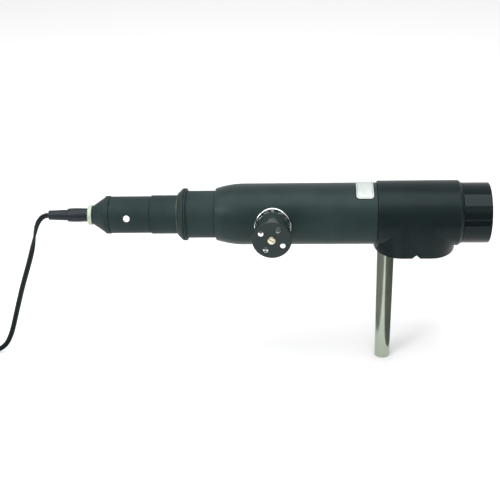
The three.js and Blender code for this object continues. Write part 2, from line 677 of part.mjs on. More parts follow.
function makeLamp() {
  const left = LOCATING_SCREW_X - HOLDER_LENGTH / 2;
  const right = LOCATING_SCREW_X + HOLDER_LENGTH / 2;
  const radius = LAMP_BORE - GAP;
  const holder = ring(left, right, radius, LAMP_CAP_RADIUS + GAP);
  const wireHoles = [-1, 1].map((side) => {
    const hole = rod(left - 1, left + 2 + GAP, WIRE_RADIUS + GAP, 12);
    hole.translate(0, side * (LAMP_CAP_RADIUS + WIRE_OFFSET), 0);
    return hole;
  });
  const headSeat = LAMP_RADIUS - LOCATING_SCREW_HEAD - 2 * GAP;
  const screwHole = atScrew(rod(LAMP_CAP_RADIUS + GAP + 1, radius + 1, LOCATING_SCREW_SHANK + GAP));
  const headHole = atScrew(rod(headSeat, LAMP_RADIUS, LOCATING_SCREW_RADIUS + GAP));
  add(optics, 'lamp_holder', cut(holder, screwHole, headHole, ...wireHoles), 'ceramic');
  const head = LAMP_RADIUS - LOCATING_SCREW_HEAD;
  const screw = turned([
    [LAMP_CAP_RADIUS + GAP + 2, 0], [LAMP_CAP_RADIUS + GAP + 2, LOCATING_SCREW_SHANK],
    [head, LOCATING_SCREW_SHANK], [head, LOCATING_SCREW_RADIUS], [LAMP_RADIUS, LOCATING_SCREW_RADIUS],
    [LAMP_RADIUS, 0],
  ], FINE_SIDES);
  add(optics, 'locating_screw', atScrew(screw), 'whitePlastic');

  const capLeft = left + 1;
  const capRight = capLeft + LAMP_CAP_LENGTH;
  add(optics, 'lamp_cap', turned([
    [capLeft, 0], [capLeft, 1.6], [capLeft + 1, 1.6], [capLeft + 1.4, LAMP_CAP_RADIUS],
    [capRight, LAMP_CAP_RADIUS], [capRight, 0],
  ], FINE_SIDES), 'brass');
  makeBulb(capRight + GAP);
}

/** A glass bulb, open towards its cap, and the filament that stands in it. */
function makeBulb(left) {
  const throat = LAMP_CAP_RADIUS - 0.8;
  const centre = left + 7;
  const outer = [];
  const inner = [];
  const steps = 6;
  const start = Math.PI - Math.asin(throat / BULB_RADIUS);
  for (let i = 0; i <= steps; i += 1) {
    const angle = start * (1 - i / steps);
    const hollow = BULB_RADIUS - GLASS_WALL;
    outer.push([centre + BULB_RADIUS * Math.cos(angle), BULB_RADIUS * Math.sin(angle)]);
    inner.push([centre + hollow * Math.cos(angle), hollow * Math.sin(angle)]);
  }
  outer.at(-1)[1] = 0;
  inner.at(-1)[1] = 0;
  const mouth = throat - GLASS_WALL;
  add(optics, 'lamp_bulb', turned([
    ...inner.reverse(), [left, mouth], [left, throat], ...outer,
  ], FINE_SIDES), 'glass');
  const reach = centre - left;
  add(optics, 'lamp_filament', tubeAlong([
    [left, -1.5, 0], [left + reach * 0.6, -1.5, 0], [centre, 0, 0],
    [left + reach * 0.6, 1.5, 0], [left, 1.5, 0],
  ], 0.6, 16, 6), 'steel');
}

function makeLampLeads() {
  const from = CONE_RIGHT + 0.6;
  const to = LOCATING_SCREW_X - HOLDER_LENGTH / 2 + 2;
  const middle = (from + to) / 2;
  for (const side of [-1, 1]) {
    const start = side * WIRE_OFFSET;
    const end = side * (LAMP_CAP_RADIUS + WIRE_OFFSET);
    const wire = tubeAlong([
      [from, start, 0], [from + 3.5, start, 0], [middle, (start + end) / 2, 0],
      [to - 3, end, 0], [to, end, 0],
    ], 2 * WIRE_RADIUS, 10, 8);
    add(optics, side < 0 ? 'lamp_lead_front' : 'lamp_lead_back', wire, 'copper');
  }
}

function makeCondenser() {
  const radius = SLEEVE_BORE - GAP;
  let left = SLEEVE_LEFT + LAMP_SPIGOT_LENGTH + GAP + 2;
  add(optics, 'diffuser', rod(left, left + DIFFUSER_THICKNESS, radius, SIDES), 'groundGlass');
  left += DIFFUSER_THICKNESS + GAP;
  const bulge = CONDENSER_CURVE - Math.sqrt(CONDENSER_CURVE ** 2 - radius ** 2);
  const rearTop = left + CONDENSER_EDGE + bulge;
  add(optics, 'condenser_rear', turned([
    [left, 0], [left, radius], ...lensArc(rearTop, CONDENSER_CURVE, radius, -1).reverse(),
  ]), 'glass');
  const spacerLeft = left + CONDENSER_EDGE + 2 * GAP;
  const spacerRight = spacerLeft + 2 * (bulge - GAP);
  add(optics, 'condenser_spacer', ring(spacerLeft, spacerRight, radius, radius - 0.25), 'aluminium');
  const frontTop = rearTop + 2 * GAP;
  const right = frontTop + bulge + CONDENSER_EDGE;
  add(optics, 'condenser_front', turned([
    ...lensArc(frontTop, CONDENSER_CURVE, radius, 1), [right, radius], [right, 0],
  ]), 'glass');
  const retainer = right + GAP;
  add(optics, 'condenser_retainer',
    ring(retainer, retainer + RETAINER_LENGTH, radius, radius - RETAINER_WALL), 'blackPaint');
}

// ---- focus drive ----

function makeFlangeAndBush() {
  const [left, right] = [KNOB_X - 2 * FLANGE_RADIUS, KNOB_X + 2 * FLANGE_RADIUS];
  const alongTube = (radius) => rod(left, right, radius, 3 * SIDES);
  const disc = outOfFront(rod(0, -FLANGE_FACE, FLANGE_RADIUS, SIDES), KNOB_X);
  const saddle = solidOf(disc).intersect(solidOf(alongTube(-FLANGE_FACE)));
  const seat = outOfFront(rod(0, -FLANGE_FACE, FLANGE_SEAT_RADIUS, SIDES), KNOB_X);
  const hole = outOfFront(rod(0, -FLANGE_FACE + 1, BUSH_RADIUS + GAP), KNOB_X);
  const flange = cut(join(geometryOf(saddle), seat), alongTube(MAIN_RADIUS + GAP), hole);
  add(optics, 'knob_flange', flange, 'polishedSteel');
  const bush = ring(-PINION_FRONT + 2 * GAP, -FLANGE_FACE, BUSH_RADIUS, SHAFT_RADIUS + RUNNING, FINE_SIDES);
  add(optics, 'shaft_bush', outOfFront(bush, KNOB_X), 'bronze');
}

function makeKnob() {
  const back = -KNOB_BACK;
  const face = -KNOB_FACE;
  const seat = face - 1;
  const knob = turned([
    [back, KNOB_BACK_RADIUS - 0.4], [back + 0.4, KNOB_BACK_RADIUS], [face - KNOB_EDGE, KNOB_RADIUS],
    [face - 0.4 * KNOB_EDGE, KNOB_RADIUS - 0.3 * KNOB_EDGE], [face, KNOB_RADIUS - KNOB_EDGE],
    [face, KNOB_SCREW_RADIUS + GAP], [seat, KNOB_SCREW_RADIUS + GAP], [seat, SHAFT_RADIUS + GAP],
    [back, SHAFT_RADIUS + GAP],
  ]);
  const places = Array.from({ length: STUD_COUNT }, (_, i) => {
    const angle = THREE.MathUtils.degToRad(STUD_TURN + (360 / STUD_COUNT) * i);
    return [STUD_CIRCLE * Math.cos(angle), STUD_CIRCLE * Math.sin(angle)];
  });
  const holes = places.map(([x, z]) => {
    const hole = outOfFront(rod(face - STUD_HOLE_DEPTH, face + 1, STUD_HOLE_RADIUS, 12), KNOB_X + x);
    hole.translate(0, 0, z);
    return hole;
  });
  add(optics, 'focus_knob', cut(outOfFront(knob, KNOB_X), ...holes), 'blackGloss');
  places.forEach(([x, z], i) => {
    const foot = face - STUD_HOLE_DEPTH + GAP;
    const top = face - STUD_SET_BACK;
    const radius = STUD_HOLE_RADIUS - GAP;
    const stud = outOfFront(turned([
      [foot, 0], [foot, radius], [top - 0.8, radius], [top - 0.25, 0.7 * radius], [top, 0.3 * radius],
      [top, 0],
    ], 12), KNOB_X + x);
    stud.translate(0, 0, z);
    add(optics, `knob_stud_${i + 1}`, stud, 'polishedSteel');
  });
}

function makeKnobScrew() {
  const seat = -KNOB_FACE - 1 + GAP;
  const top = seat + KNOB_SCREW_HEAD;
  const screw = turned([
    [seat - 8, 0], [seat - 8, KNOB_SCREW_SHANK], [seat, KNOB_SCREW_SHANK], [seat, KNOB_SCREW_RADIUS],
    [top - 0.3, KNOB_SCREW_RADIUS], [top, KNOB_SCREW_RADIUS - 0.4], [top, 0],
  ], FINE_SIDES);
  const slot = boxBetween([top - SLOT_DEPTH, -SLOT_WIDTH / 2, -10], [top + 1, SLOT_WIDTH / 2, 10]);
  slot.rotateX(THREE.MathUtils.degToRad(90 - SLOT_TURN));
  add(optics, 'knob_screw', outOfFront(cut(screw, slot), KNOB_X), 'brass');
}

function makeShaft() {
  const inner = -PINION_BACK - 1;
  const outer = -KNOB_FACE - 1 - GAP;
  const hole = outer - 9;
  const shaft = turned([
    [inner, 0], [inner, SHAFT_RADIUS], [outer, SHAFT_RADIUS], [outer, KNOB_SCREW_SHANK + GAP],
    [hole, KNOB_SCREW_SHANK + GAP], [hole, 0],
  ], FINE_SIDES);
  add(optics, 'focus_shaft', outOfFront(shaft, KNOB_X), 'steel');
  const washer = ring(
    -FLANGE_FACE + GAP, -FLANGE_FACE + GAP + FRICTION_WASHER, FRICTION_WASHER_RADIUS, SHAFT_RADIUS + GAP, 32,
  );
  add(optics, 'friction_washer', outOfFront(washer, KNOB_X), 'bronze');
}

/** The pinion's outline in X and Y: a tooth points along +Y, where the rack lies. */
function pinionShape() {
  const root = PITCH_RADIUS - 1.25 * GEAR_MODULE;
  const tip = PITCH_RADIUS + 0.9 * GEAR_MODULE;
  const step = (2 * Math.PI) / PINION_TEETH;
  const wide = TOOTH_PITCH / 4 - BACKLASH / 2;
  const flank = [
    [root, wide + 0.32], [PITCH_RADIUS, wide], [tip, wide - 0.26],
  ];
  const shape = new THREE.Shape();
  for (let i = 0; i < PINION_TEETH; i += 1) {
    const middle = Math.PI / 2 + i * step;
    const left = flank.map(([radius, half]) => [radius, middle - half / radius]);
    const right = [...flank].reverse().map(([radius, half]) => [radius, middle + half / radius]);
    for (const [radius, angle] of [...left, ...right]) {
      const place = [radius * Math.cos(angle), radius * Math.sin(angle)];
      if (i === 0 && shape.curves.length === 0 && shape.currentPoint.length() === 0) {
        shape.moveTo(...place);
      } else {
        shape.lineTo(...place);
      }
    }
  }
  const bore = new THREE.Path();
  bore.absarc(0, 0, SHAFT_RADIUS + GAP, 0, 2 * Math.PI, true);
  shape.holes.push(bore);
  return shape;
}

/** The rack's outline in X and Z from the shaft: its spaces are centred on the pinion's top tooth. */
function rackShape(right) {
  const root = PITCH_RADIUS + 1.15 * GEAR_MODULE;
  const tip = PITCH_RADIUS - 0.85 * GEAR_MODULE;
  const slope = Math.tan(THREE.MathUtils.degToRad(20));
  const wide = TOOTH_PITCH / 4 - BACKLASH / 2;
  const atRoot = wide + (root - PITCH_RADIUS) * slope;
  const atTip = wide - (PITCH_RADIUS - tip) * slope;
  const left = RACK_LEFT - KNOB_X;
  const count = Math.floor((-2 * left) / TOOTH_PITCH) - 1;
  const shape = new THREE.Shape();
  shape.moveTo(left, RACK_BACK);
  shape.lineTo(left, root);
  for (let i = 0; i < count; i += 1) {
    const middle = (i - (count - 1) / 2) * TOOTH_PITCH + ((count % 2) ? TOOTH_PITCH / 2 : 0);
    shape.lineTo(middle - atRoot, root);
    shape.lineTo(middle - atTip, tip);
    shape.lineTo(middle + atTip, tip);
    shape.lineTo(middle + atRoot, root);
  }
  shape.lineTo(right, root);
  shape.lineTo(right, RACK_BACK);
  return shape;
}

function makeGears() {
  const pinion = pushed(pinionShape(), GEAR_WIDTH);
  pinion.rotateX(Math.PI / 2);
  pinion.translate(KNOB_X, PINION_BACK, 0);
  add(optics, 'pinion', pinion, 'brass');
  const rack = pushed(rackShape(CARRIAGE_LEFT + RACK_SEAT_LENGTH - KNOB_X), GEAR_WIDTH);
  rack.rotateX(Math.PI / 2);
  rack.translate(KNOB_X, PINION_BACK, 0);
  add(optics, 'rack', rack, 'brass');
}

function makeCarriage() {
  const wide = CARRIAGE_LEFT + RACK_SEAT_LENGTH + 2;
  const collar = CARRIAGE_RIGHT - CARRIAGE_COLLAR;
  const glass = CARRIAGE_BORE + CARRIAGE_SHOULDER;
  const targetSeat = CARRIAGE_LEFT + TARGET_THICKNESS + RETAINER_LENGTH + 2 * GAP;
  const lensSeat = CARRIAGE_RIGHT - CARRIAGE_COLLAR;
  const body = turned([
    [CARRIAGE_LEFT, COLLAR_RADIUS], [wide, COLLAR_RADIUS], [wide, CARRIAGE_RADIUS], [collar, CARRIAGE_RADIUS],
    [collar, COLLAR_RADIUS], [CARRIAGE_RIGHT, COLLAR_RADIUS], [CARRIAGE_RIGHT, glass], [lensSeat, glass],
    [lensSeat, CARRIAGE_BORE], [targetSeat, CARRIAGE_BORE], [targetSeat, glass], [CARRIAGE_LEFT, glass],
  ]);
  const root = PITCH_RADIUS + 1.15 * GEAR_MODULE - GAP;
  const slot = boxBetween(
    [CARRIAGE_LEFT - 1, -MAIN_BORE, root],
    [CARRIAGE_LEFT + RACK_SEAT_LENGTH + GAP, PINION_BACK + GAP, RACK_BACK + GAP],
  );
  add(optics, 'carriage', cut(body, slot), 'aluminium');

  const radius = glass - GAP;
  const targetLeft = targetSeat - GAP - TARGET_THICKNESS;
  add(optics, 'target_glass', rod(targetLeft, targetLeft + TARGET_THICKNESS, radius, SIDES), 'glass');
  const ringRight = targetLeft - GAP;
  add(optics, 'target_ring', ring(CARRIAGE_LEFT + GAP, ringRight, radius, radius - RETAINER_WALL), 'brass');
  const lensLeft = lensSeat + GAP;
  const top = lensLeft + 1.6 + (50 - Math.sqrt(50 ** 2 - radius ** 2));
  add(optics, 'relay_lens', turned([
    [lensLeft, 0], [lensLeft, radius], ...lensArc(top, 50, radius, -1).reverse(),
  ]), 'glass');
  const lensRing = top + GAP;
  add(optics, 'relay_ring', ring(lensRing, CARRIAGE_RIGHT, radius, radius - RETAINER_WALL), 'brass');
}

// ---- plug and lead ----

function makePlug() {
  const left = PLUG_RIGHT - PLUG_LENGTH;
  const reach = PLUG_RIGHT + PLUG_TIP_LENGTH;
  add(optics, 'plug_body', turned([
    [left, 0], [left, PLUG_RADIUS - 0.7], [left + 1.2, PLUG_RADIUS - 0.1], [left + 4.5, PLUG_RADIUS - 0.1],
    [left + 6, PLUG_RADIUS - 0.6], [left + 9.5, PLUG_RADIUS - 0.5], [left + 11.5, PLUG_RADIUS],
    [PLUG_RIGHT - 0.6, PLUG_RADIUS], [PLUG_RIGHT, PLUG_RADIUS - 0.6], [PLUG_RIGHT, 0],
  ], 32), 'blackPlastic');
  add(optics, 'plug_tip', ring(
    PLUG_RIGHT + GAP, reach, PLUG_TIP_RADIUS, SOCKET_PIN_RADIUS + RUNNING, FINE_SIDES,
  ), 'steel');
  const relief = left - GAP;
  add(optics, 'plug_strain_relief', turned([
    [relief - RELIEF_LENGTH, 0], [relief - RELIEF_LENGTH, RELIEF_TIP_RADIUS],
    [relief - 4, RELIEF_RADIUS - 0.3], [relief, RELIEF_RADIUS], [relief, 0],
  ], FINE_SIDES), 'blackPlastic');
}

function makeLead() {
  add(part, 'cord', tubeAlong(CORD_ROUTE, CORD_DIAMETER, CORD_STEPS, CORD_SIDES), 'rubber');
  const lower = (COIL_TURN * LOWER_TURNS) / 2;
  const upper = (COIL_TURN * UPPER_TURNS) / 2;
  const middle = COIL_BOTTOM + COIL_LAYER;
  const top = middle + COIL_LAYER;
  const coil = turned([
    [COIL_BOTTOM, COIL_RADIUS - lower], [COIL_BOTTOM, COIL_RADIUS + lower], [middle, COIL_RADIUS + lower],
    [top, COIL_RADIUS + upper], [top, COIL_RADIUS - upper], [middle, COIL_RADIUS - lower],
  ], 32);
  coil.rotateY(-Math.PI / 2);
  coil.translate(COIL_X, COIL_Y, 0);
  add(part, 'coil', coil, 'rubber');
  add(part, 'cord_tail', tubeAlong(TAIL_ROUTE, CORD_DIAMETER, TAIL_STEPS, CORD_SIDES), 'rubber');
}

function makeFarPlug() {
  const [x, y, z] = TAIL_ROUTE.at(-1);
  const start = GAP;
  const end = start + FAR_PLUG_LENGTH;
  const body = turned([
    [start, 0], [start, 3.2], [start + 7, 4.2], [start + 8, FAR_PLUG_RADIUS], [end - 0.6, FAR_PLUG_RADIUS],
    [end, FAR_PLUG_RADIUS - 0.6], [end, 0],
  ], FINE_SIDES);
  const pieces = [['far_plug_body', body, 'blackPlastic']];
  for (const side of [-1, 1]) {
    const pin = rod(end + GAP, end + FAR_PIN_LENGTH, FAR_PIN_RADIUS, 12);
    pin.translate(0, side * FAR_PIN_OFFSET, 0);
    pieces.push([side < 0 ? 'far_plug_pin_left' : 'far_plug_pin_right', pin, 'brass']);
  }
  for (const [name, piece, finish] of pieces) {
    piece.rotateZ(-Math.PI / 2);
    piece.translate(x, y, z);
    add(part, name, piece, finish);
  }
}

makeMainTube();
makeLabel();
makeHead();
makeHood();
makeObjective();
makePost();
makeNeck();
makeClamp();
makeLampTubes();
makeEndCone();
makeSocket();
makeLamp();
makeLampLeads();
makeCondenser();
makeFlangeAndBush();
makeKnob();
makeKnobScrew();
makeShaft();
makeGears();
makeCarriage();
makePlug();
makeLead();
makeFarPlug();

export default part;
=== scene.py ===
import json
from math import asin, cos, pi, radians, sin, sqrt, tan, tau
import bmesh
import bpy
from mathutils import Matrix, Quaternion, Vector


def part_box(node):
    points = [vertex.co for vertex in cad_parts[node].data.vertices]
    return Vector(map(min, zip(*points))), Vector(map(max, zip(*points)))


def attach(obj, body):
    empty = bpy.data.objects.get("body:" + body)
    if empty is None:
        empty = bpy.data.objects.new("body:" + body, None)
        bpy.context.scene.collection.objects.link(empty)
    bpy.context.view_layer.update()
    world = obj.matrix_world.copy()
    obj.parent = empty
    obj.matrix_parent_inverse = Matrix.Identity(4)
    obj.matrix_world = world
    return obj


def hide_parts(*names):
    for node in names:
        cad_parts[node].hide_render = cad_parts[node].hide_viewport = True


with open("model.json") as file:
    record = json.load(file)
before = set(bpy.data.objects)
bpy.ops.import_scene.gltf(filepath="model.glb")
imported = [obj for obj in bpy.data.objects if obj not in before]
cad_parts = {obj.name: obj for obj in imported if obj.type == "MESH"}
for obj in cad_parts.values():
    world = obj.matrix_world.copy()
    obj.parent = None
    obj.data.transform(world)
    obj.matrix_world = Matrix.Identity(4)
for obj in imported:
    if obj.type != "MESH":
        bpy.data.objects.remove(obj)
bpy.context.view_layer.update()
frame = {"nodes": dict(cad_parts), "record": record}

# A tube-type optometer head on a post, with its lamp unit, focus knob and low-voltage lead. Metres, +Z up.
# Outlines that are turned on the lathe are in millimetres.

MM = 0.001
tube_low, tube_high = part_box("main_tube")
AXIS = (tube_low.z + tube_high.z) / 2

# ---- viewpoint, floor and studio ----
# The head stands on its post on a plain white floor, in a soft white room. Flags, which are plain dark cards
# out of the picture, give the polished pieces their edges.

VIEW_PLACE = (-0.0619, -0.7054, 0.4539)
VIEW_HEADING = 3.908
VIEW_DOWN = 26.586
VIEW_ROLL = -1.979
LENS = 69.54
FLOOR_HALF = 6
FLAG_TOP = 0.10
ROOM_STRENGTH = 0.85

scene = bpy.context.scene
scene.view_settings.view_transform = "Standard"


def added(name, data):
    """An object of the data, in the scene."""
    made = bpy.data.objects.new(name, data)
    scene.collection.objects.link(made)
    return made


def make_camera():
    heading, down = radians(VIEW_HEADING), radians(VIEW_DOWN)
    level = cos(down)
    forward = Vector((-sin(heading) * level, cos(heading) * level, -sin(down)))
    camera = added("camera", bpy.data.cameras.new("camera"))
    camera.data.lens = LENS
    camera.data.sensor_width = 36
    camera.rotation_mode = "QUATERNION"
    roll = Quaternion((0, 0, 1), radians(VIEW_ROLL))
    camera.rotation_quaternion = forward.to_track_quat("-Z", "Y") @ roll
    camera.location = VIEW_PLACE
    scene.camera = camera


def wired(tree, kind, inputs=None, **settings):
    """Adds a node, sets its properties, and fills its inputs or joins them to other nodes' outputs."""
    node = tree.nodes.new(kind)
    for name, value in settings.items():
        setattr(node, name, value)
    for key, value in (inputs or {}).items():
        if isinstance(value, bpy.types.NodeSocket):
            tree.links.new(value, node.inputs[key])
        else:
            node.inputs[key].default_value = value
    return node


def made_from(tree, kind, inputs=None, **settings):
    """The first output of a new node."""
    return wired(tree, kind, inputs, **settings).outputs[0]


def calc(tree, operation, *values):
    return made_from(tree, "ShaderNodeMath", dict(enumerate(values)), operation=operation)


def ramp(tree, factor, stops):
    """A colour ramp through grey or coloured stops, as (place, value)."""
    node = wired(tree, "ShaderNodeValToRGB", {"Fac": factor})
    elements = node.color_ramp.elements
    while len(elements) < len(stops):
        elements.new(0.5)
    for element, (place, value) in zip(elements, stops):
        element.position = place
        element.color = (value, value, value, 1) if isinstance(value, (int, float)) else (*value, 1)
    return node.outputs["Color"]


def make_studio():
    """A soft white room, with a darker wall between floor and ceiling on the camera's side."""
    world = bpy.data.worlds.new("studio")
    scene.world = world
    world.use_nodes = True
    tree = world.node_tree
    tree.nodes.clear()
    along = wired(tree, "ShaderNodeTexCoord").outputs["Generated"]
    split = wired(tree, "ShaderNodeSeparateXYZ", {"Vector": along}).outputs
    height = wired(tree, "ShaderNodeMapRange", {"Value": split["Z"], "From Min": -1, "From Max": 1})
    wall = ramp(tree, height.outputs["Result"], [(0.44, 1), (0.49, 0), (0.66, 0), (0.73, 1)])
    behind = wired(tree, "ShaderNodeMapRange", {"Value": split["Y"], "From Min": -0.25, "From Max": 0.2})
    seen = ramp(tree, calc(tree, "MAXIMUM", wall, behind.outputs["Result"]),
                [(0, (0.12, 0.14, 0.15)), (1, (1, 1, 1))])
    lit = wired(tree, "ShaderNodeBackground", {"Color": seen, "Strength": ROOM_STRENGTH})
    backdrop = wired(tree, "ShaderNodeBackground", {"Color": (1, 1, 1, 1), "Strength": 1.0})
    direct = wired(tree, "ShaderNodeLightPath").outputs["Is Camera Ray"]
    mixed = wired(tree, "ShaderNodeMixShader", {0: direct, 1: lit.outputs[0], 2: backdrop.outputs[0]})
    wired(tree, "ShaderNodeOutputWorld", {"Surface": mixed.outputs[0]})


def make_light(name, place, target, size, watts):
    data = bpy.data.lights.new(name, "AREA")
    data.shape = "RECTANGLE"
    data.size, data.size_y = size
    data.energy = watts
    light = added(name, data)
    light.location = place
    light.rotation_euler = (Vector(target) - Vector(place)).to_track_quat("-Z", "Y").to_euler()


def surface(name, color, roughness, metallic=0.0, specular=0.5, tones=None, wear=None, sheen=None, grain=None,
            others=None):
    """A material. tones cloud its colour: (scale, spread, stops). wear bares its corners: (colour, amount).
    sheen clouds its roughness: (scale, middle, spread). grain bumps it: (scale, depth)."""
    made = bpy.data.materials.new(name)
    made.use_nodes = True
    tree = made.node_tree
    shader = tree.nodes["Principled BSDF"]
    body = (*color, 1)
    plain = {"Base Color": body, "Roughness": roughness, "Metallic": metallic, "Specular IOR Level": specular}
    for key, value in {**plain, **(others or {})}.items():
        shader.inputs[key].default_value = value
    if tones:
        scale, spread, stops = tones
        body = ramp(tree, cloudy(tree, scale, 0.5, spread)["Value"], stops)
        tree.links.new(body, shader.inputs["Base Color"])
    if wear:
        under, amount = wear
        rubbed = wired(tree, "ShaderNodeGroup", {"Amount": amount}, node_tree=EDGE_WEAR).outputs["Mask"]
        mix = wired(tree, "ShaderNodeMix", {"Factor": rubbed, 6: body, 7: (*under, 1)}, data_type="RGBA")
        tree.links.new(mix.outputs[2], shader.inputs["Base Color"])
    if sheen:
        tree.links.new(cloudy(tree, *sheen)["Value"], shader.inputs["Roughness"])
    if grain:
        bumped(tree, cloudy(tree, grain[0], 0.5, 1)["Height"], grain[1])
    return made


def bumped(tree, height, depth):
    bump = wired(tree, "ShaderNodeBump", {"Strength": 1.0, "Distance": depth, "Height": height})
    tree.links.new(bump.outputs["Normal"], tree.nodes["Principled BSDF"].inputs["Normal"])


def staged(name, corners, finish):
    """A flat sheet of the studio, through four corners."""
    mesh = bpy.data.meshes.new(name)
    mesh.from_pydata(corners, [], [(0, 1, 2, 3)])
    mesh.materials.append(finish)
    sheet = added(name, mesh)
    return sheet


def lying(left, right, near, far, height):
    """The corners of a level sheet."""
    return [(left, near, height), (right, near, height), (right, far, height), (left, far, height)]


def standing(x):
    """The corners of an upright sheet beside the post."""
    return [(x, y, z) for y, z in ((-0.20, 0.001), (0.05, 0.001), (0.05, FLAG_TOP), (-0.20, FLAG_TOP))]


def make_flags():
    """Studio flags: dark cards out of the picture, which the polished pieces mirror."""
    for name, corners, color in (
        ("flag_left", standing(-0.044), (0.42, 0.43, 0.42)),
        ("flag_right", standing(0.019), (0.20, 0.21, 0.20)),
        ("flag_front_left", lying(-0.7, -0.01, -0.95, -0.40, 0.002), (0.03, 0.03, 0.03)),
        ("flag_front_right", lying(-0.01, 0.5, -0.95, -0.25, 0.002), (0.03, 0.03, 0.03)),
    ):
        flag = staged(name, corners, surface(name, color, 0.9))
        flag.visible_camera = False
        flag.visible_diffuse = False
        flag.visible_shadow = False


make_camera()
make_studio()
staged("floor", lying(-FLOOR_HALF, FLOOR_HALF, -FLOOR_HALF, FLOOR_HALF, 0),
       surface("white_table", (0.93, 0.93, 0.93), 0.9))
make_flags()
make_light("ceiling", (-0.2, -0.3, 1.5), (-0.1, 0, 0.1), (1.6, 1.2), 17)
make_light("window", (-0.9, -0.9, 1.0), (-0.1, 0, 0.1), (0.5, 0.5), 6)

# ---- lead ----
# Flat twin flex in black PVC: two insulated cores side by side, joined by a thin web. It leaves the plug,
# turns a quarter round as it falls, and is wound on edge into a coil that a strap holds.

LEAD_WIDTH = 0.0044
CORE_RADIUS = 0.00115
WEB_HALF = 0.0004
ROUTE = [
    (-0.2739, 0, 0.1323), (-0.2760, 0, 0.1319), (-0.2789, 0, 0.1305), (-0.2817, 0, 0.1276),
    (-0.2842, 0, 0.1232), (-0.2864, 0, 0.1172), (-0.2884, 0, 0.1102), (-0.2910, 0, 0.1014),
    (-0.2946, 0, 0.0910), (-0.2984, 0, 0.0810), (-0.3021, 0, 0.0714), (-0.3057, 0, 0.0616),
    (-0.3094, 0, 0.0508), (-0.3132, 0, 0.0396), (-0.3170, 0, 0.0284), (-0.3212, 0, 0.0178),
    (-0.3264, 0, 0.0092), (-0.3330, 0, 0.0042), (-0.3416, 0, 0.0025), (-0.3508, 0, 0.0025),
]
TAIL = [
    (-0.3760, -0.0060, 0.0122), (-0.3816, -0.0092, 0.0126), (-0.3864, -0.0134, 0.0134),
    (-0.3898, -0.0182, 0.0143), (-0.3914, -0.0232, 0.0147), (-0.3916, -0.0280, 0.0147),
]
COIL_MIDDLE = (-0.366, -0.03075)
COIL_RADII = [0.03075, 0.02825, 0.02575, 0.02325, 0.0245, 0.027, 0.0295]
LAYER_HEIGHTS = [0.0025, 0.0071]
LOWER_TURNS = 4
TURN_STEPS = 48
STEP_FROM = 0.8  # of a turn, where the lead starts to shift to the next one
HUMP_FROM = 0.86  # of the last turn, where the lead starts to rise onto the coil
TWIST_AT_PLUG = -55
TWIST_FROM, TWIST_TO = 0.010, 0.050  # metres along the lead


def smooth(value):
    value = min(max(value, 0), 1)
    return value * value * (3 - 2 * value)


def curve_through(points, steps=4):
    """Points along a smooth curve through the given ones."""
    points = [Vector(p) for p in points]
    ends = [2 * points[0] - points[1]] + points + [2 * points[-1] - points[-2]]
    made = []
    for before, start, end, after in zip(ends, ends[1:], ends[2:], ends[3:]):
        bend = 2 * before - 5 * start + 4 * end - after
        turn = 3 * start - before - 3 * end + after
        for i in range(steps):
            t = i / steps
            made.append(0.5 * (2 * start + (end - before) * t + bend * t * t + turn * t ** 3))
    return made + [points[-1]]


def coil_turns():
    """The coil's turns, outside in on the lower layer and inside out on the upper one."""
    made = []
    last = len(COIL_RADII) - 1
    for turn, radius in enumerate(COIL_RADII):
        following = COIL_RADII[min(turn + 1, last)]
        height = LAYER_HEIGHTS[turn >= LOWER_TURNS]
        above = LAYER_HEIGHTS[turn + 1 >= LOWER_TURNS]
        for i in range(TURN_STEPS):
            part = i / TURN_STEPS
            angle = pi / 2 + 2 * pi * part
            step = smooth((part - STEP_FROM) / (1 - STEP_FROM))
            out = radius + (following - radius) * step
            z = height + (above - height) * step
            if turn == last:
                z = height + (TAIL[0][2] - height) * smooth((part - HUMP_FROM) / (1 - HUMP_FROM))
            x, y = COIL_MIDDLE
            made.append(Vector((x + out * cos(angle), y + out * sin(angle), z)))
    return made


def lead_section():
    """The flex's outline: two cores with a web between them, as (across, through) points."""
    offset = LEAD_WIDTH / 2 - CORE_RADIUS
    start = pi - asin(WEB_HALF / CORE_RADIUS)
    one_side = []
    for i in range(13):
        angle = start - 2 * start * i / 12
        one_side.append((offset + CORE_RADIUS * cos(angle), CORE_RADIUS * sin(angle)))
    return one_side + [(-x, -y) for x, y in one_side]


def lead_rings(path, section):
    """The section at each point of the path, turned as the lead twists."""
    rings = []
    length = 0
    for i, point in enumerate(path):
        length += (point - path[i - 1]).length if i else 0
        along = (path[min(i + 1, len(path) - 1)] - path[max(i - 1, 0)]).normalized()
        level = Vector((0, 0, 1)).cross(along).normalized()
        done = smooth((length - TWIST_FROM) / (TWIST_TO - TWIST_FROM))
        turn = radians(TWIST_AT_PLUG + (90 - TWIST_AT_PLUG) * done)
        across = level * cos(turn) + along.cross(level) * sin(turn)
        through = along.cross(across)
        rings.append([point + across * x + through * y for x, y in section])
    return rings


def skinned(name, rings, finish, closed=False, sharp=35):
    """A skin over rings of points. Its ends are capped, unless the last ring joins the first."""
    mesh = bmesh.new()
    rows = [[mesh.verts.new(point) for point in ring] for ring in rings]
    count = len(rows[0])
    for first, second in zip(rows, rows[1:] + rows[:closed]):
        for i in range(count):
            k = (i + 1) % count
            mesh.faces.new((first[i], first[k], second[k], second[i]))
    if not closed:
        mesh.faces.new(rows[0])
        mesh.faces.new(rows[-1])
    made = as_object(name, mesh, sharp)
    made.data.materials.append(finish)
    return made


def shaded(mesh, sharp=35):
    """Makes the edges smooth that turn by less than the angle."""
    for edge in mesh.edges:
        edge.smooth = len(edge.link_faces) == 2 and edge.calc_face_angle(0) < radians(sharp)


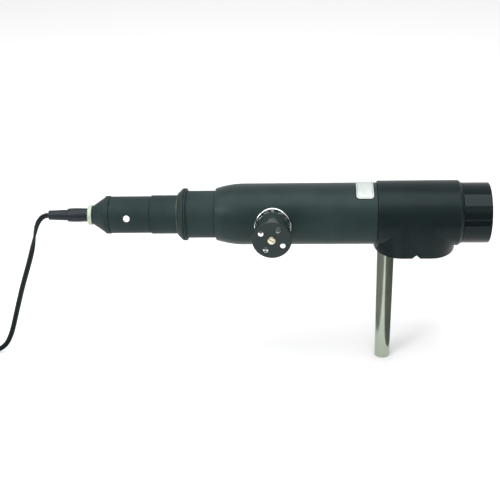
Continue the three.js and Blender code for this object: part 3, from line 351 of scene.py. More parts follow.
def as_object(name, mesh, sharp=35):
    """A bmesh as a scene object, with its faces outwards."""
    bmesh.ops.recalc_face_normals(mesh, faces=mesh.faces)
    for face in mesh.faces:
        face.smooth = True
    shaded(mesh, sharp)
    data = bpy.data.meshes.new(name)
    mesh.to_mesh(data)
    mesh.free()
    if "wear" not in data.attributes:
        data.attributes.new("wear", "FLOAT", "POINT")
    return added(name, data)


def new_tree(name, kind, inputs, outputs):
    """A node tree with named inputs and outputs. A number stands for a float and its first value."""
    tree = bpy.data.node_groups.new(name, kind)
    for direction, sockets in (("INPUT", inputs), ("OUTPUT", outputs)):
        for label, what in sockets.items():
            kind_of = "Float" if isinstance(what, float) else what
            socket = tree.interface.new_socket(label, in_out=direction, socket_type="NodeSocket" + kind_of)
            if isinstance(what, float):
                socket.default_value = what
    return tree, wired(tree, "NodeGroupInput").outputs


def noise_over(tree, scale, detail):
    """Noise over a piece's surface."""
    place = wired(tree, "ShaderNodeTexCoord").outputs["Object"]
    noise = wired(tree, "ShaderNodeTexNoise", {"Vector": place, "Scale": scale, "Detail": detail})
    return noise.outputs["Fac"]


def cloudy_group():
    """Slow cloudy change over a surface, from handling and cleaning: a value and a height."""
    tree, given = new_tree("cloudy", "ShaderNodeTree", {"Scale": 60.0, "Middle": 0.5, "Spread": 0.1},
                           {"Value": "Float", "Height": "Float"})
    noise = noise_over(tree, given["Scale"], 5.0)
    value = calc(tree, "MULTIPLY_ADD", calc(tree, "SUBTRACT", noise, 0.5), given["Spread"], given["Middle"])
    wired(tree, "NodeGroupOutput", {"Value": value, "Height": noise})
    return tree


CLOUDY = cloudy_group()


def cloudy(tree, scale, middle, spread):
    """Places the cloudy group in a material."""
    inputs = {"Scale": scale, "Middle": middle, "Spread": spread}
    return wired(tree, "ShaderNodeGroup", inputs, node_tree=CLOUDY).outputs


def seat(piece, body, slot, *nodes):
    """Rides the piece on its body, in place of the CAD nodes it stands for."""
    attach(piece, body)
    if nodes:
        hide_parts(*nodes)
    return piece


centre_line = curve_through(ROUTE) + coil_turns() + curve_through(TAIL)
FLEX = surface("flex_pvc", (0.006, 0.012, 0.013), 0.3, specular=0.2, sheen=(350, 0.34, 0.3),
               grain=(900, 0.00006))
lead = skinned("lead", lead_rings(centre_line, lead_section()), FLEX)
seat(lead, "plug", "cord_rubber", "cord", "coil", "cord_tail")

# ---- plugs ----
# The barrel plug is moulded in blue-black PVC over a nickel sleeve, with a slight swell to grip and a tapered
# relief behind it. The lead's other end has a plain moulded plug with two turned brass pins.


def turning_tree():
    """A lathe. The outline's points are in X and Z, and the tree sweeps them round the X axis."""
    tree, given = geometry_tree("turned_piece", Outline="Geometry", Points="Int", Sides="Int",
                                Finish="Material")
    rows = calc(tree, "ADD", given["Points"], 1)
    columns = calc(tree, "ADD", given["Sides"], 1)
    grid = made_from(tree, "GeometryNodeMeshGrid", {"Vertices X": columns, "Vertices Y": rows})
    index = made_from(tree, "GeometryNodeInputIndex")
    row = calc(tree, "MODULO", calc(tree, "MODULO", index, rows), given["Points"])
    column = calc(tree, "FLOOR", calc(tree, "DIVIDE", index, rows))
    angle = calc(tree, "MULTIPLY", column, calc(tree, "DIVIDE", tau, given["Sides"]))
    given_place = made_from(tree, "GeometryNodeInputPosition")
    given_wear = made_from(tree, "GeometryNodeInputNamedAttribute", {"Name": "wear"})
    at_row = {"Geometry": given["Outline"], "Index": row}
    place = made_from(tree, "GeometryNodeSampleIndex", {**at_row, "Value": given_place},
                      data_type="FLOAT_VECTOR")
    wear = made_from(tree, "GeometryNodeSampleIndex", {**at_row, "Value": given_wear})
    split = wired(tree, "ShaderNodeSeparateXYZ", {"Vector": place}).outputs
    around = made_from(tree, "ShaderNodeCombineXYZ", {
        "X": split["X"],
        "Y": calc(tree, "MULTIPLY", split["Z"], calc(tree, "SINE", angle)),
        "Z": calc(tree, "MULTIPLY", split["Z"], calc(tree, "COSINE", angle)),
    })
    moved = made_from(tree, "GeometryNodeSetPosition", {"Geometry": grid, "Position": around})
    inputs = {"Geometry": moved, "Name": "wear", "Value": wear}
    worn = made_from(tree, "GeometryNodeStoreNamedAttribute", inputs)
    closed = made_from(tree, "GeometryNodeMergeByDistance", {"Geometry": worn, "Distance": 0.000001})
    return finished(tree, closed, given["Finish"])


def geometry_tree(name, **inputs):
    return new_tree(name, "GeometryNodeTree", inputs, {"Geometry": "Geometry"})


def finished(tree, geometry, finish):
    """Ends a geometry tree with real faces in their material."""
    real = made_from(tree, "GeometryNodeRealizeInstances", {"Geometry": geometry})
    painted = wired(tree, "GeometryNodeSetMaterial", {"Geometry": real, "Material": finish})
    wired(tree, "NodeGroupOutput", {"Geometry": painted.outputs[0]})
    return tree


TURNING = turning_tree()


def made_by(tree, name, source, values):
    """Runs a geometry tree on a source mesh with named input values and keeps the result as a plain mesh."""
    holder = added(name, source)
    modifier = holder.modifiers.new("made", "NODES")
    modifier.node_group = tree
    for socket in tree.interface.items_tree:
        if socket.in_out == "INPUT" and socket.name in values:
            modifier[socket.identifier] = values[socket.name]
    evaluated = holder.evaluated_get(bpy.context.evaluated_depsgraph_get())
    result = bpy.data.meshes.new_from_object(evaluated)
    bpy.data.objects.remove(holder)
    mesh = bmesh.new()
    mesh.from_mesh(result)
    made = as_object(name, mesh)
    for finish in result.materials:
        made.data.materials.append(finish)
    return made


def eased(outline, steps=4):
    """The outline with its corners rounded. A point is (x, radius) or (x, radius, corner), and the result
    also says where paint or plating wears: 1 on a corner that stands out, 0 elsewhere."""
    count = len(outline)
    area = sum(outline[i - 1][0] * outline[i][1] - outline[i][0] * outline[i - 1][1] for i in range(count))
    made = []
    for i, point in enumerate(outline):
        here = Vector(point[:2])
        if len(point) == 2:
            made.append((here, 0))
            continue
        before = Vector(outline[i - 1][:2]) - here
        after = Vector(outline[(i + 1) % count][:2]) - here
        half = before.angle(after) / 2
        back = min(point[2] / tan(half), 0.42 * before.length, 0.42 * after.length)
        radius = back * tan(half)
        before.normalize()
        after.normalize()
        centre = here + (before + after).normalized() * (radius / sin(half))
        out = 1 if (before.x * after.y - before.y * after.x) * area < 0 else 0
        hold = 0.25 * back
        made.append((here + before * (back + hold), 0))
        start, end = here + before * back - centre, here + after * back - centre
        sweep = start.angle_signed(end)
        for k in range(steps + 1):
            arm = start.copy()
            arm.rotate(Matrix.Rotation(-sweep * k / steps, 2))
            made.append((centre + arm, out))
        made.append((here + after * (back + hold), 0))
    return made


TO_FRONT = Matrix.Rotation(-pi / 2, 4, "Z")  # turns a piece that is made about X to point forwards
TO_TOP = Matrix.Rotation(-pi / 2, 4, "Y")  # the same, to point up


def on_axis():
    return Matrix.Translation((0, 0, AXIS))


def lathe(name, outline, finish, place=None, sides=160):
    """Turns a closed outline in millimetres into a solid. Without a place it lies on the optical axis."""
    points = eased([[value * MM for value in point] for point in outline])
    source = bpy.data.meshes.new(name)
    source.from_pydata([(x, 0, max(radius, 0)) for (x, radius), _ in points], [], [])
    wear = source.attributes.new("wear", "FLOAT", "POINT")
    wear.data.foreach_set("value", [float(value) for _, value in points])
    made = made_by(TURNING, name, source, {"Points": len(points), "Sides": sides, "Finish": finish})
    made.data.transform(place or on_axis())
    return made


def turned(node, word, body, slot, outline, finish, place=None, sides=160, cuts=(), name=None):
    """Turns a CAD piece's visible form, cuts the tools out of it and seats it."""
    made = lathe(name or f"{node}_{word}", outline, finish, place, sides)
    for tool in cuts:
        carve(made, tool)
    return seat(made, body, slot, node)


def reach(node):
    """The left end, right end and outer radius of a CAD piece on the optical axis, in millimetres."""
    low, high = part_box(node)
    return low.x / MM, high.x / MM, (high.y - low.y) / 2 / MM


def edge_wear_group():
    """Where corners have rubbed through: the wear attribute, broken up by noise."""
    tree, given = new_tree("edge_wear", "ShaderNodeTree", {"Amount": 0.5, "Scale": 400.0}, {"Mask": "Float"})
    worn = wired(tree, "ShaderNodeAttribute", attribute_name="wear").outputs["Fac"]
    noise = noise_over(tree, given["Scale"], 4.0)
    broken = wired(tree, "ShaderNodeMapRange", {"Value": noise, "From Min": 0.45, "From Max": 0.7})
    both = calc(tree, "MULTIPLY", worn, broken.outputs["Result"])
    wired(tree, "NodeGroupOutput", {"Mask": calc(tree, "MULTIPLY", both, given["Amount"])})
    return tree


def turned_metal_group():
    """Fine rings left by the tool on turned metal, from the distance along a line."""
    tree, given = new_tree("turned_metal", "ShaderNodeTree", {
        "Along": "Vector", "Pitch": 4000.0, "Middle": 0.25, "Spread": 0.2,
    }, {"Height": "Float", "Roughness": "Float"})
    place = wired(tree, "ShaderNodeTexCoord").outputs["Object"]
    along = wired(tree, "ShaderNodeVectorMath", {0: place, 1: given["Along"]}, operation="DOT_PRODUCT")
    rings = wired(tree, "ShaderNodeTexNoise", {
        "W": along.outputs["Value"], "Scale": given["Pitch"], "Detail": 3.0,
    }, noise_dimensions="1D").outputs["Fac"]
    rough = calc(tree, "MULTIPLY_ADD", calc(tree, "SUBTRACT", rings, 0.5), given["Spread"], given["Middle"])
    wired(tree, "NodeGroupOutput", {"Height": rings, "Roughness": rough})
    return tree


EDGE_WEAR = edge_wear_group()
TURNED_METAL = turned_metal_group()


def turned_finish(name, color, middle, spread, along, pitch=4000.0, depth=0.00001, darker=0.75):
    """Turned or ground metal: rings along one direction, with a little change of tone."""
    dark = tuple(darker * channel for channel in color)
    made = surface(name, color, middle, 1.0, tones=(45, 1.2, [(0.15, dark), (0.75, color)]))
    tree = made.node_tree
    inputs = {"Along": along, "Pitch": pitch, "Middle": middle, "Spread": spread}
    rings = wired(tree, "ShaderNodeGroup", inputs, node_tree=TURNED_METAL).outputs
    tree.links.new(rings["Roughness"], tree.nodes["Principled BSDF"].inputs["Roughness"])
    bumped(tree, rings["Height"], depth)
    return made


PVC = surface("moulded_black", (0.010, 0.015, 0.020), 0.42, specular=0.25,
              tones=(90, 1.0, [(0.2, (0.008, 0.013, 0.018)), (0.8, (0.014, 0.020, 0.026))]),
              wear=((0.07, 0.08, 0.09), 0.2), sheen=(250, 0.42, 0.25), grain=(1400, 0.00005))
NICKEL = turned_finish("nickel", (0.62, 0.61, 0.57), 0.22, 0.15, (1, 0, 0))
PIN_BRASS = turned_finish("pin_brass", (0.78, 0.60, 0.30), 0.25, 0.15, (0, 1, 0))


def make_plug():
    left, right, radius = reach("plug_body")
    body = turned("plug_body", "moulded", "plug", "black_plastic", [
        (left, 0), (left, radius - 0.35, 0.3), (left + 2.5, radius - 0.1, 2), (left + 8, radius, 4),
        (right, radius - 0.25, 0.6), (right, 0),
    ], PVC)
    left, right, radius = reach("plug_strain_relief")
    tip, end = 3.85, radius - 0.2
    outline = [(left, 0), (left, tip, 0.6)]
    for i in range(3):  # shallow rings that let it bend
        groove = left + 2.6 + 2.6 * i
        swell = tip + (end - tip) * (groove - left) / (right - left)
        floor = swell - 0.12
        outline += [(groove - 0.5, swell, 0.2), (groove - 0.25, floor, 0.15), (groove + 0.25, floor, 0.15),
                    (groove + 0.5, swell + 0.06, 0.2)]
    outline += [(right, end, 0.15), (right, 0)]
    relief = turned("plug_strain_relief", "", "plug", "black_plastic", outline, PVC,
                    name="plug_relief")
    left, right, radius = reach("plug_tip")
    bore = 1.25
    sleeve = turned("plug_tip", "", "plug", "post_steel", [
        (left, radius, 0.1), (right, radius, 0.5), (right, bore, 0.2), (left, bore),
    ], NICKEL, sides=64, name="plug_sleeve")
    return [body, sleeve, relief]


def along_y(node):
    """Where a piece that is made about X replaces a CAD piece along Y, its length and its radius."""
    low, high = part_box(node)
    middle = (low + high) / 2
    place = Matrix.Translation((middle.x, high.y, middle.z)) @ TO_FRONT
    return place, (high.y - low.y) / MM, (high.x - low.x) / 2 / MM


def make_far_plug():
    place, length, radius = along_y("far_plug_body")
    outline = [(0, 0), (0, 3.2, 0.6), (7, 4.2, 0.5), (8, radius, 0.5)]
    floor = radius - 0.4
    for i in range(4):
        rib = 10.5 + 2.2 * i
        profile = ((0, radius), (0.3, floor), (0.9, floor), (1.2, radius))
        outline += [(rib + x, height, 0.2) for x, height in profile]
    outline += [(length, radius, 0.7), (length, 0)]
    made = [turned("far_plug_body", "", "plug", "black_plastic", outline, PVC, place, 96,
                   name="far_plug_moulded")]
    for node in ("far_plug_pin_left", "far_plug_pin_right"):
        place, length, radius = along_y(node)
        made.append(turned(node, "turned", "plug", "brass", [
            (0, 0), (0, radius), (length * 0.62, radius, 0.1), (length * 0.66, 0.8 * radius, 0.1),
            (length * 0.7, radius, 0.1), (length, radius, 0.7), (length, 0),
        ], PIN_BRASS, place, 48))
    return made


def rounded_box(left, right, low, high, corner, steps):
    """The outline of a rectangle with round corners."""
    made = []
    for x, y, first in ((right, high, 0), (left, high, 90), (left, low, 180), (right, low, 270)):
        for k in range(steps + 1):
            turn = radians(first + 90 * k / steps)
            across = cos(turn) - (1 if x == right else -1)
            up = sin(turn) - (1 if y == high else -1)
            made.append((x + corner * across, y + corner * up))
    return made


def make_strap():
    """A strap round the coil's turns, at the side away from the plug."""
    angle = radians(250)
    low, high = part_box("coil")
    out = Vector((cos(angle), sin(angle), 0))
    along = Vector((-out.y, out.x, 0))
    middle = Vector((*COIL_MIDDLE, 0)) + out * 0.027
    half, bottom, top = 5.2, low.z / MM - 0.07, high.z / MM + 0.1
    thick, corner, near, far = 0.3, 1.4, -3, 3

    def loop(side, grow):
        flat = rounded_box(-half - grow, half + grow, bottom - grow, top + grow, corner + grow, 6)
        return [middle + out * (x * MM) + along * (side * MM) + Vector((0, 0, max(z, 0.01) * MM))
                for x, z in flat]

    rings = [loop(near, thick), loop(far, thick), loop(far, 0), loop(near, 0)]
    return seat(skinned("coil_strap", rings, PVC, closed=True), "plug", "black_plastic")


plug_pieces = make_plug() + make_far_plug() + [make_strap()]

# ---- lamp unit ----
# The lamp tube and its end cone are aluminium, turned and sprayed satin black. A cream socket ring holds the
# plug's socket, and a white nylon screw in the tube's side fixes the lamp's holder.

ENAMEL = (0.019, 0.031, 0.031)
BARE = (0.22, 0.24, 0.24)
GAP = 0.3  # millimetres between a piece and the one it fits over
SCREW_DOWN = 79  # degrees that the locating screw lies down the front, from the top
SCREW_RADIUS = 2.75


def enamel(name, roughness, color=ENAMEL, grain=0.00004, gloss=0.14):
    """Sprayed enamel on aluminium: a fine orange peel, cloudy sheen and corners that have rubbed."""
    paler = tuple(1.35 * channel for channel in color)
    darker = tuple(0.75 * channel for channel in color)
    return surface(name, color, roughness, specular=gloss, tones=(30, 1.0, [(0.25, darker), (0.75, paler)]),
                   wear=(BARE, 0.12), sheen=(70, roughness, 0.14), grain=(1100, grain),
                   others={"Specular Tint": (0.8, 1.0, 0.98, 1)})


SATIN = enamel("satin_enamel", 0.55)
CREAM = surface("cream_urea", (0.48, 0.54, 0.42), 0.4,
                tones=(200, 1.2, [(0.2, (0.36, 0.43, 0.32)), (0.8, (0.56, 0.61, 0.50))]),
                wear=((0.22, 0.26, 0.2), 0.6), grain=(1500, 0.00003),
                others={"Subsurface Weight": 0.1, "Subsurface Scale": 0.002})
NYLON = surface("white_nylon", (0.9, 0.9, 0.88), 0.35,
                tones=(300, 1, [(0.2, (0.86, 0.86, 0.83)), (0.8, (0.93, 0.93, 0.92))]))


def at_screw():
    """Turns a piece that is made about X to point out at the locating screw."""
    low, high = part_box("locating_screw")
    down = Matrix.Rotation(radians(SCREW_DOWN), 4, "X")
    middle = Matrix.Translation(((low.x + high.x) / 2, 0, AXIS))
    return middle @ down @ TO_TOP


def rounded(point):
    """A point to a tenth of a micron, to find it again by."""
    return tuple(round(value, 7) for value in point)


def carve(piece, tool, operation="DIFFERENCE"):
    """Cuts the tool out of the piece, or joins it on. Only the piece's own corners keep their wear."""
    worn = {}
    for vertex, value in zip(piece.data.vertices, piece.data.attributes["wear"].data):
        worn[rounded(vertex.co)] = value.value
    modifier = piece.modifiers.new("carve", "BOOLEAN")
    modifier.operation = operation
    modifier.solver = "EXACT"
    modifier.object = tool
    evaluated = piece.evaluated_get(bpy.context.evaluated_depsgraph_get())
    result = bpy.data.meshes.new_from_object(evaluated)
    piece.modifiers.clear()
    mesh = bmesh.new()
    mesh.from_mesh(result)
    bmesh.ops.dissolve_degenerate(mesh, dist=0.000001, edges=mesh.edges)
    shaded(mesh)
    mesh.to_mesh(result)
    mesh.free()
    values = [worn.get(rounded(vertex.co), 0.0) for vertex in result.vertices]
    if "wear" in result.attributes:
        result.attributes.remove(result.attributes["wear"])
    result.attributes.new("wear", "FLOAT", "POINT").data.foreach_set("value", values)
    piece.data = result
    bpy.data.objects.remove(tool)


def drill(from_x, to_x, radius, finish, place, sides):
    """A rod to cut a round hole with."""
    return lathe("drill", [(from_x, 0), (from_x, radius), (to_x, radius), (to_x, 0)], finish, place, sides)


def block(low, high, finish, place):
    """A box between two corners in millimetres, to cut a slot with."""
    mesh = bmesh.new()
    bmesh.ops.create_cube(mesh, size=1)
    made = as_object("slot", mesh)
    size = [(b - a) * MM for a, b in zip(low, high)]
    middle = [(a + b) / 2 * MM for a, b in zip(low, high)]
    made.data.transform(place @ Matrix.Translation(middle) @ Matrix.Diagonal((*size, 1)))
    made.data.materials.append(finish)
    return made


def make_lamp_unit():
    left, right, radius = reach("socket_ring")
    bore = 3.05
    turned("socket_ring", "cream", "lamp_unit", "cream_plastic", [
        (left, bore + 0.3, 0.2), (left, radius, 0.8), (right, radius, 0.3), (right, bore), (left + 0.5, bore),
    ], CREAM)

    left, right, radius = reach("lamp_end_cone")
    tube_left, tube_right, tube_radius = reach("lamp_tube")
    ridge_right = tube_left - GAP
    ridge_left = ridge_right - 3.8
    face, bore = 7.6, 4.95
    spigot = tube_radius - 2.9
    turned("lamp_end_cone", "turned", "lamp_unit", "black_paint", [
        (left, bore, 0.2), (left, face - 0.3, 0.5), (left + 0.9, face + 0.35, 0.9),
        (ridge_left - 0.35, tube_radius - 0.35, 0.5), (ridge_left, tube_radius - 0.45, 0.2),
        (ridge_left, radius, 0.5), (ridge_right, radius, 0.5), (ridge_right, spigot), (right, spigot),
        (right, spigot - 2), (ridge_left, spigot - 2), (ridge_left, bore),
    ], SATIN)

    left, right, radius = reach("lamp_sleeve")
    shoulder = left - GAP
    neck = tube_radius - 1.55
    inner = tube_radius - 2.6
    turned("lamp_tube", "turned", "lamp_unit", "black_paint", [
        (tube_left, inner, 0.2), (tube_left, tube_radius, 0.35), (shoulder, tube_radius, 0.25),
        (shoulder, neck),
        (tube_right, neck), (tube_right, inner),
    ], SATIN, cuts=[drill(8, 20, SCREW_RADIUS + 0.25, SATIN, at_screw(), 64)])

    wall, stop = radius - 1.95, left + 12.3
    turned("lamp_sleeve", "turned", "lamp_unit", "black_paint", [
        (left, neck + GAP, 0.2), (left, radius, 0.3), (right, radius, 0.4), (right, wall), (stop, wall),
        (stop, neck + GAP),
    ], SATIN)

    top = tube_radius
    foot, head, shank = top - 8, top - 1.7, 1.4
    turned("locating_screw", "moulded", "lamp_unit", "white_plastic", [
        (foot, 0), (foot, shank, 0.3), (head, shank), (head, SCREW_RADIUS, 0.1),
        (top - 0.15, SCREW_RADIUS, 0.5),
        (top, 0.35, 0.2), (top, 0),
    ], NYLON, at_screw(), 64)


make_lamp_unit()

# ---- neck and clamp ----
# The neck is screwed into the main tube and its rim carries a ring nut. The nut squeezes a split bronze
# collet onto the lamp unit's sleeve, and the collet's edge shows as a thin ring of dull bronze.

DULL_BRONZE = turned_finish("dull_bronze", (0.20, 0.20, 0.13), 0.42, 0.15, (1, 0, 0))


def make_neck():
    left, right, rim = reach("neck_tube")
    nut_left, nut_right, _ = reach("clamp_nut")
    rim_left = nut_right + GAP
    rim_right = rim_left + 1.3
    radius, thread = rim - 2.1, rim - 3.15
    bore = reach("lamp_sleeve")[2] + GAP
    seam = reach("main_tube")[0] - GAP
    spigot = radius - 2.05
    turned("neck_tube", "turned", "housing", "black_paint", [
        (left, thread, 0.2), (rim_left, thread), (rim_left, rim, 0.2), (rim_right, rim, 0.9),
        (rim_right, radius, 0.3), (seam, radius), (seam, spigot), (right, spigot), (right, bore),
        (left, bore),
    ], SATIN)
    mouth = bore + 0.75
    turned("clamp_nut", "turned", "clamp", "black_paint", [
        (nut_left, mouth, 0.1), (nut_left, mouth + 0.55, 0.25), (nut_right - 1.6, rim, 1.2),
        (nut_right, rim, 0.2), (nut_right, thread + GAP), (left - GAP, thread + GAP),
        (left - GAP, mouth + 0.9),
    ], SATIN)
    left, right, radius = reach("collet_ring")
    lip = bore + 0.45
    slot = block((left - 1, -1.5, -rim), (right + 1, 1.5, 0), DULL_BRONZE, on_axis())
    turned("collet_ring", "turned", "housing", "bronze", [
        (left, bore, 0.1), (left, lip, 0.15), (nut_left, lip), (right, lip + 0.45), (right, bore),
    ], DULL_BRONZE, cuts=[slot])


make_neck()

# ---- main tube and label ----
# The main tube is drawn aluminium with a spun, rounded nose, sprayed satin black. A bare silver label is
# stuck round its top, with one thin border line.

TUBE_ENAMEL = enamel("tube_enamel", 0.34)
LABEL_SILVER = surface("label_silver", (0.52, 0.56, 0.53), 0.5, 0.3, sheen=(160, 0.5, 0.15),
                       tones=(220, 1.1, [(0.2, (0.48, 0.52, 0.49)), (0.8, (0.57, 0.61, 0.58))]))
LABEL_LINE = surface("label_line", (0.12, 0.13, 0.14), 0.5,
                     tones=(800, 1.2, [(0.2, (0.08, 0.09, 0.1)), (0.8, (0.2, 0.21, 0.22))]))
LABEL_FROM, LABEL_TO = -38.7, 32  # degrees round the tube, from its top
LABEL_THICK = 0.35
LABEL_CORNER = 2.4
LABEL_INSET = 0.9
LABEL_ROWS = 40
LINE_WIDTH = 0.28
LINE_STEP = 0.8
LINE_HALF = 0.02
TUBE_SEAT = 3  # how far the tube goes into the head


def make_main_tube():
    left, right, radius = reach("main_tube")
    nose = 20.9
    length, rise = 23.1, radius - nose
    curve = (length * length + rise * rise) / (2 * rise)
    outline = [(left, nose, 0.7)]
    for i in range(1, 25):
        back = length * (1 - i / 24)
        outline.append((left + length - back, radius - curve + sqrt(curve * curve - back * back)))
    step = right - TUBE_SEAT - GAP
    spigot, bore, nose_bore = radius - 1.15, radius - 1.95, nose - 3.7
    outline += [
        (step, radius, 0.3), (step, spigot), (right, spigot), (right, bore), (left + 16.5, bore),
        (left + 15.6, nose_bore), (left, nose_bore, 0.2),
    ]
    turned("main_tube", "spun", "housing", "black_paint", outline, TUBE_ENAMEL, sides=192)


def divided(loop):
    """The loop with extra points along it, close enough to follow the tube."""
    made = []
    for (x0, s0), (x1, s1) in zip(loop, loop[1:] + loop[:1]):
        pieces = max(1, round(abs(s1 - s0) / LINE_STEP))
        made += [(x0 + (x1 - x0) * k / pieces, s0 + (s1 - s0) * k / pieces) for k in range(pieces)]
    return made


def make_label():
    low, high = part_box("label_plate")
    left, right = low.x / MM, high.x / MM
    under = reach("main_tube")[2] + GAP
    over = under + LABEL_THICK
    start, end = radians(LABEL_FROM) * under, radians(LABEL_TO) * under

    def on_tube(x, along, radius):
        angle = along / under
        return Vector((x * MM, radius * MM * sin(angle), AXIS + radius * MM * cos(angle)))

    rings = []
    for i in range(LABEL_ROWS + 1):
        s = start + (end - start) * (0.5 - 0.5 * cos(pi * i / LABEL_ROWS))
        into = max(LABEL_CORNER - min(s - start, end - s), 0)
        cut = LABEL_CORNER - sqrt(max(LABEL_CORNER ** 2 - into ** 2, 0))
        near, far = left + cut, right - cut
        outline = ((near, under), (far, under), (far - 0.1, over), (near + 0.1, over))
        rings.append([on_tube(x, s, radius) for x, radius in outline])
    plate = skinned("label_plate_silver", rings, LABEL_SILVER, sharp=50)
    seat(plate, "housing", "label_metal", "label_plate")

    rings = []
    inner = LABEL_INSET + LINE_WIDTH
    for inset, lift in ((LABEL_INSET, -1), (LABEL_INSET, 1), (inner, 1), (inner, -1)):
        flat = rounded_box(left + inset, right - inset, start + inset, end - inset, LABEL_CORNER - inset, 8)
        rings.append([on_tube(x, s, over + lift * LINE_HALF) for x, s in divided(flat)])
    seat(skinned("label_border", rings, LABEL_LINE, closed=True), "housing", "label_metal")


make_main_tube()
make_label()

# ---- head block ----
# The head is a cast aluminium block, bored for the main tube, the objective and the hood. Its boss has flat
# sides and half-oval ends, stands on the post, and has a V-groove across its underside that locates it.

HEAD_ENAMEL = enamel("head_enamel", 0.32, (0.008, 0.014, 0.015))
BOSS_LEFT, BOSS_RIGHT, BOSS_END = 11, 33.5, 21
GROOVE_AT = 22.1
GROOVE_WIDTH = 7
GROOVE_DEPTH = 3.1
ROOT = 0.3  # half the width of the groove's rounded root
HEAD_BORE = 20.5


def boss_solid(bottom, radius):
    """The boss: its plan has flat sides and half-oval ends, and its bottom edge is slightly rounded."""
    rings = []
    for height, inset in ((0, 0.5), (0.12, 0.2), (0.5, 0), (AXIS / MM - bottom, 0)):
        ring = []
        for middle, first in ((BOSS_LEFT, 90), (BOSS_RIGHT, -90)):
            for k in range(49):
                turn = radians(first + 180 * k / 48)
                x = middle + (BOSS_END - inset) * cos(turn)
                ring.append((x * MM, (radius - inset) * sin(turn) * MM, (bottom + height) * MM))
        rings.append(ring)
    return skinned("boss", rings, HEAD_ENAMEL)


def groove_solid(bottom):
    """A wedge that cuts the V-groove, with a slightly rounded root."""
    line = [(-GROOVE_WIDTH, -GROOVE_DEPTH), (GROOVE_WIDTH, -GROOVE_DEPTH), (ROOT, GROOVE_DEPTH - 0.27),
            (0, GROOVE_DEPTH - 0.15), (-ROOT, GROOVE_DEPTH - 0.27)]
    rings = [[((GROOVE_AT + x) * MM, y, (bottom + z) * MM) for x, z in line] for y in (-0.04, 0.04)]
    return skinned("wedge", rings, HEAD_ENAMEL)


def make_head():
    tube_right, tube_radius = reach("main_tube")[1:]
    bore_left, right, radius = reach("head_block")
    left = tube_right - TUBE_SEAT
    hood = reach("hood")[2]
    head = lathe("head_block_cast", [
        (left, 0), (left, radius, 0.45), (right - 2.3, radius, 1.2), (right, hood + GAP, 0.6), (right, 0),
    ], HEAD_ENAMEL, sides=192)
    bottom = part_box("head_block")[0].z / MM
    spigot, socket, hood_bore = tube_radius - 0.85, tube_radius + GAP, hood - 1.3
    tube_end, hood_end = left + 3.3, right - 9.6
    bore = lathe("head_bore", [
        (bore_left - 1, 0), (bore_left - 1, socket), (left, socket), (left, spigot), (tube_end, spigot),
        (tube_end, HEAD_BORE), (hood_end, HEAD_BORE), (hood_end, hood_bore), (right + 1, hood_bore),
        (right + 1, 0),
    ], HEAD_ENAMEL, sides=192)
    carve(head, boss_solid(bottom, radius), "UNION")
    carve(head, bore)
    carve(head, groove_solid(bottom))
    seat(head, "housing", "black_paint", "head_block")


make_head()

# ---- post ----
# The post is stainless bar, ground to a slow taper with a flat foot, and a washer and a stud hold it up
# into the boss.

STAINLESS = turned_finish("stainless", (0.42, 0.47, 0.39), 0.16, 0.12, (0, 0, 1), 2600.0, 0.000006, 0.86)
POST_FOOT = 6.27
STUD_HOLE = 4.3
STUD_HOLE_DEPTH = 12.3


def upright(node):
    """Where a piece that is made about X replaces a CAD piece that stands, its length and its radius."""
    low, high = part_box(node)
    place = Matrix.Translation((0, 0, low.z)) @ TO_TOP
    return place, (high.z - low.z) / MM, (high.x - low.x) / 2 / MM


def make_post():
    place, length, top = upright("post")
    hole_end = length - STUD_HOLE_DEPTH
    turned("post", "ground", "housing", "post_steel", [
        (0, 0), (0, POST_FOOT, 0.4), (length, top, 0.25), (length, STUD_HOLE), (hole_end, STUD_HOLE),
        (hole_end, 0),
    ], STAINLESS, place, 128)
    place, thick, radius = upright("post_washer")
    turned("post_washer", "turned", "housing", "post_steel", [
        (0, STUD_HOLE, 0.1), (0, radius, 0.25), (thick, radius, 0.25), (thick, STUD_HOLE, 0.1),
    ], STAINLESS, place, 128)
    place, length, radius = upright("post_stud")
    turned("post_stud", "turned", "housing", "post_steel", [
        (0, 0), (0, radius, 0.4), (length, radius, 0.4), (length, 0),
    ], STAINLESS, place, 64)


make_post()

# ---- hood and objective ----
# The hood is a spun shade with a smooth gloss enamel, which shows hard bands of reflection. Behind it the
# objective's two lenses sit in an anodised cell under a black retaining ring.

HOOD_GLOSS = enamel("hood_gloss", 0.07, (0.005, 0.008, 0.009), 0.000006, 0.17)
ANODISED = turned_finish("anodised", (0.10, 0.10, 0.105), 0.35, 0.15, (1, 0, 0), 2500.0)
# crown glass, with a thin anti-reflection coat that tints what it reflects
GLASS = surface("coated_glass", (0.97, 1.0, 0.99), 0.02, sheen=(120, 0.03, 0.03), others={
    "Transmission Weight": 1.0, "IOR": 1.52, "Specular Tint": (0.75, 0.6, 1.0, 1),
})
CEMENTED_CURVE = 45
FRONT_CURVE = 60


def make_hood():
    left, right, radius = reach("hood")
    step = reach("head_block")[1] + GAP
    spigot, bore = radius - 1.6, radius - 2.4
    inner = spigot - 2.6
    turned("hood", "spun", "housing", "black_gloss", [
        (left, inner, 0.2), (left, spigot, 0.3), (step, spigot), (step, radius, 0.25), (right, radius, 0.8),
        (right, bore, 0.7), (step + 2.4, bore), (step, inner),
    ], HOOD_GLOSS, sides=192)


def lens_arc(vertex, curve, rim, side, steps=16):
    """A lens's surface from the axis to the rim, as (x, radius). side is 1 where it opens to the right."""
    return [(vertex + side * (curve - sqrt(curve ** 2 - (rim * i / steps) ** 2)), rim * i / steps)
            for i in range(steps + 1)]


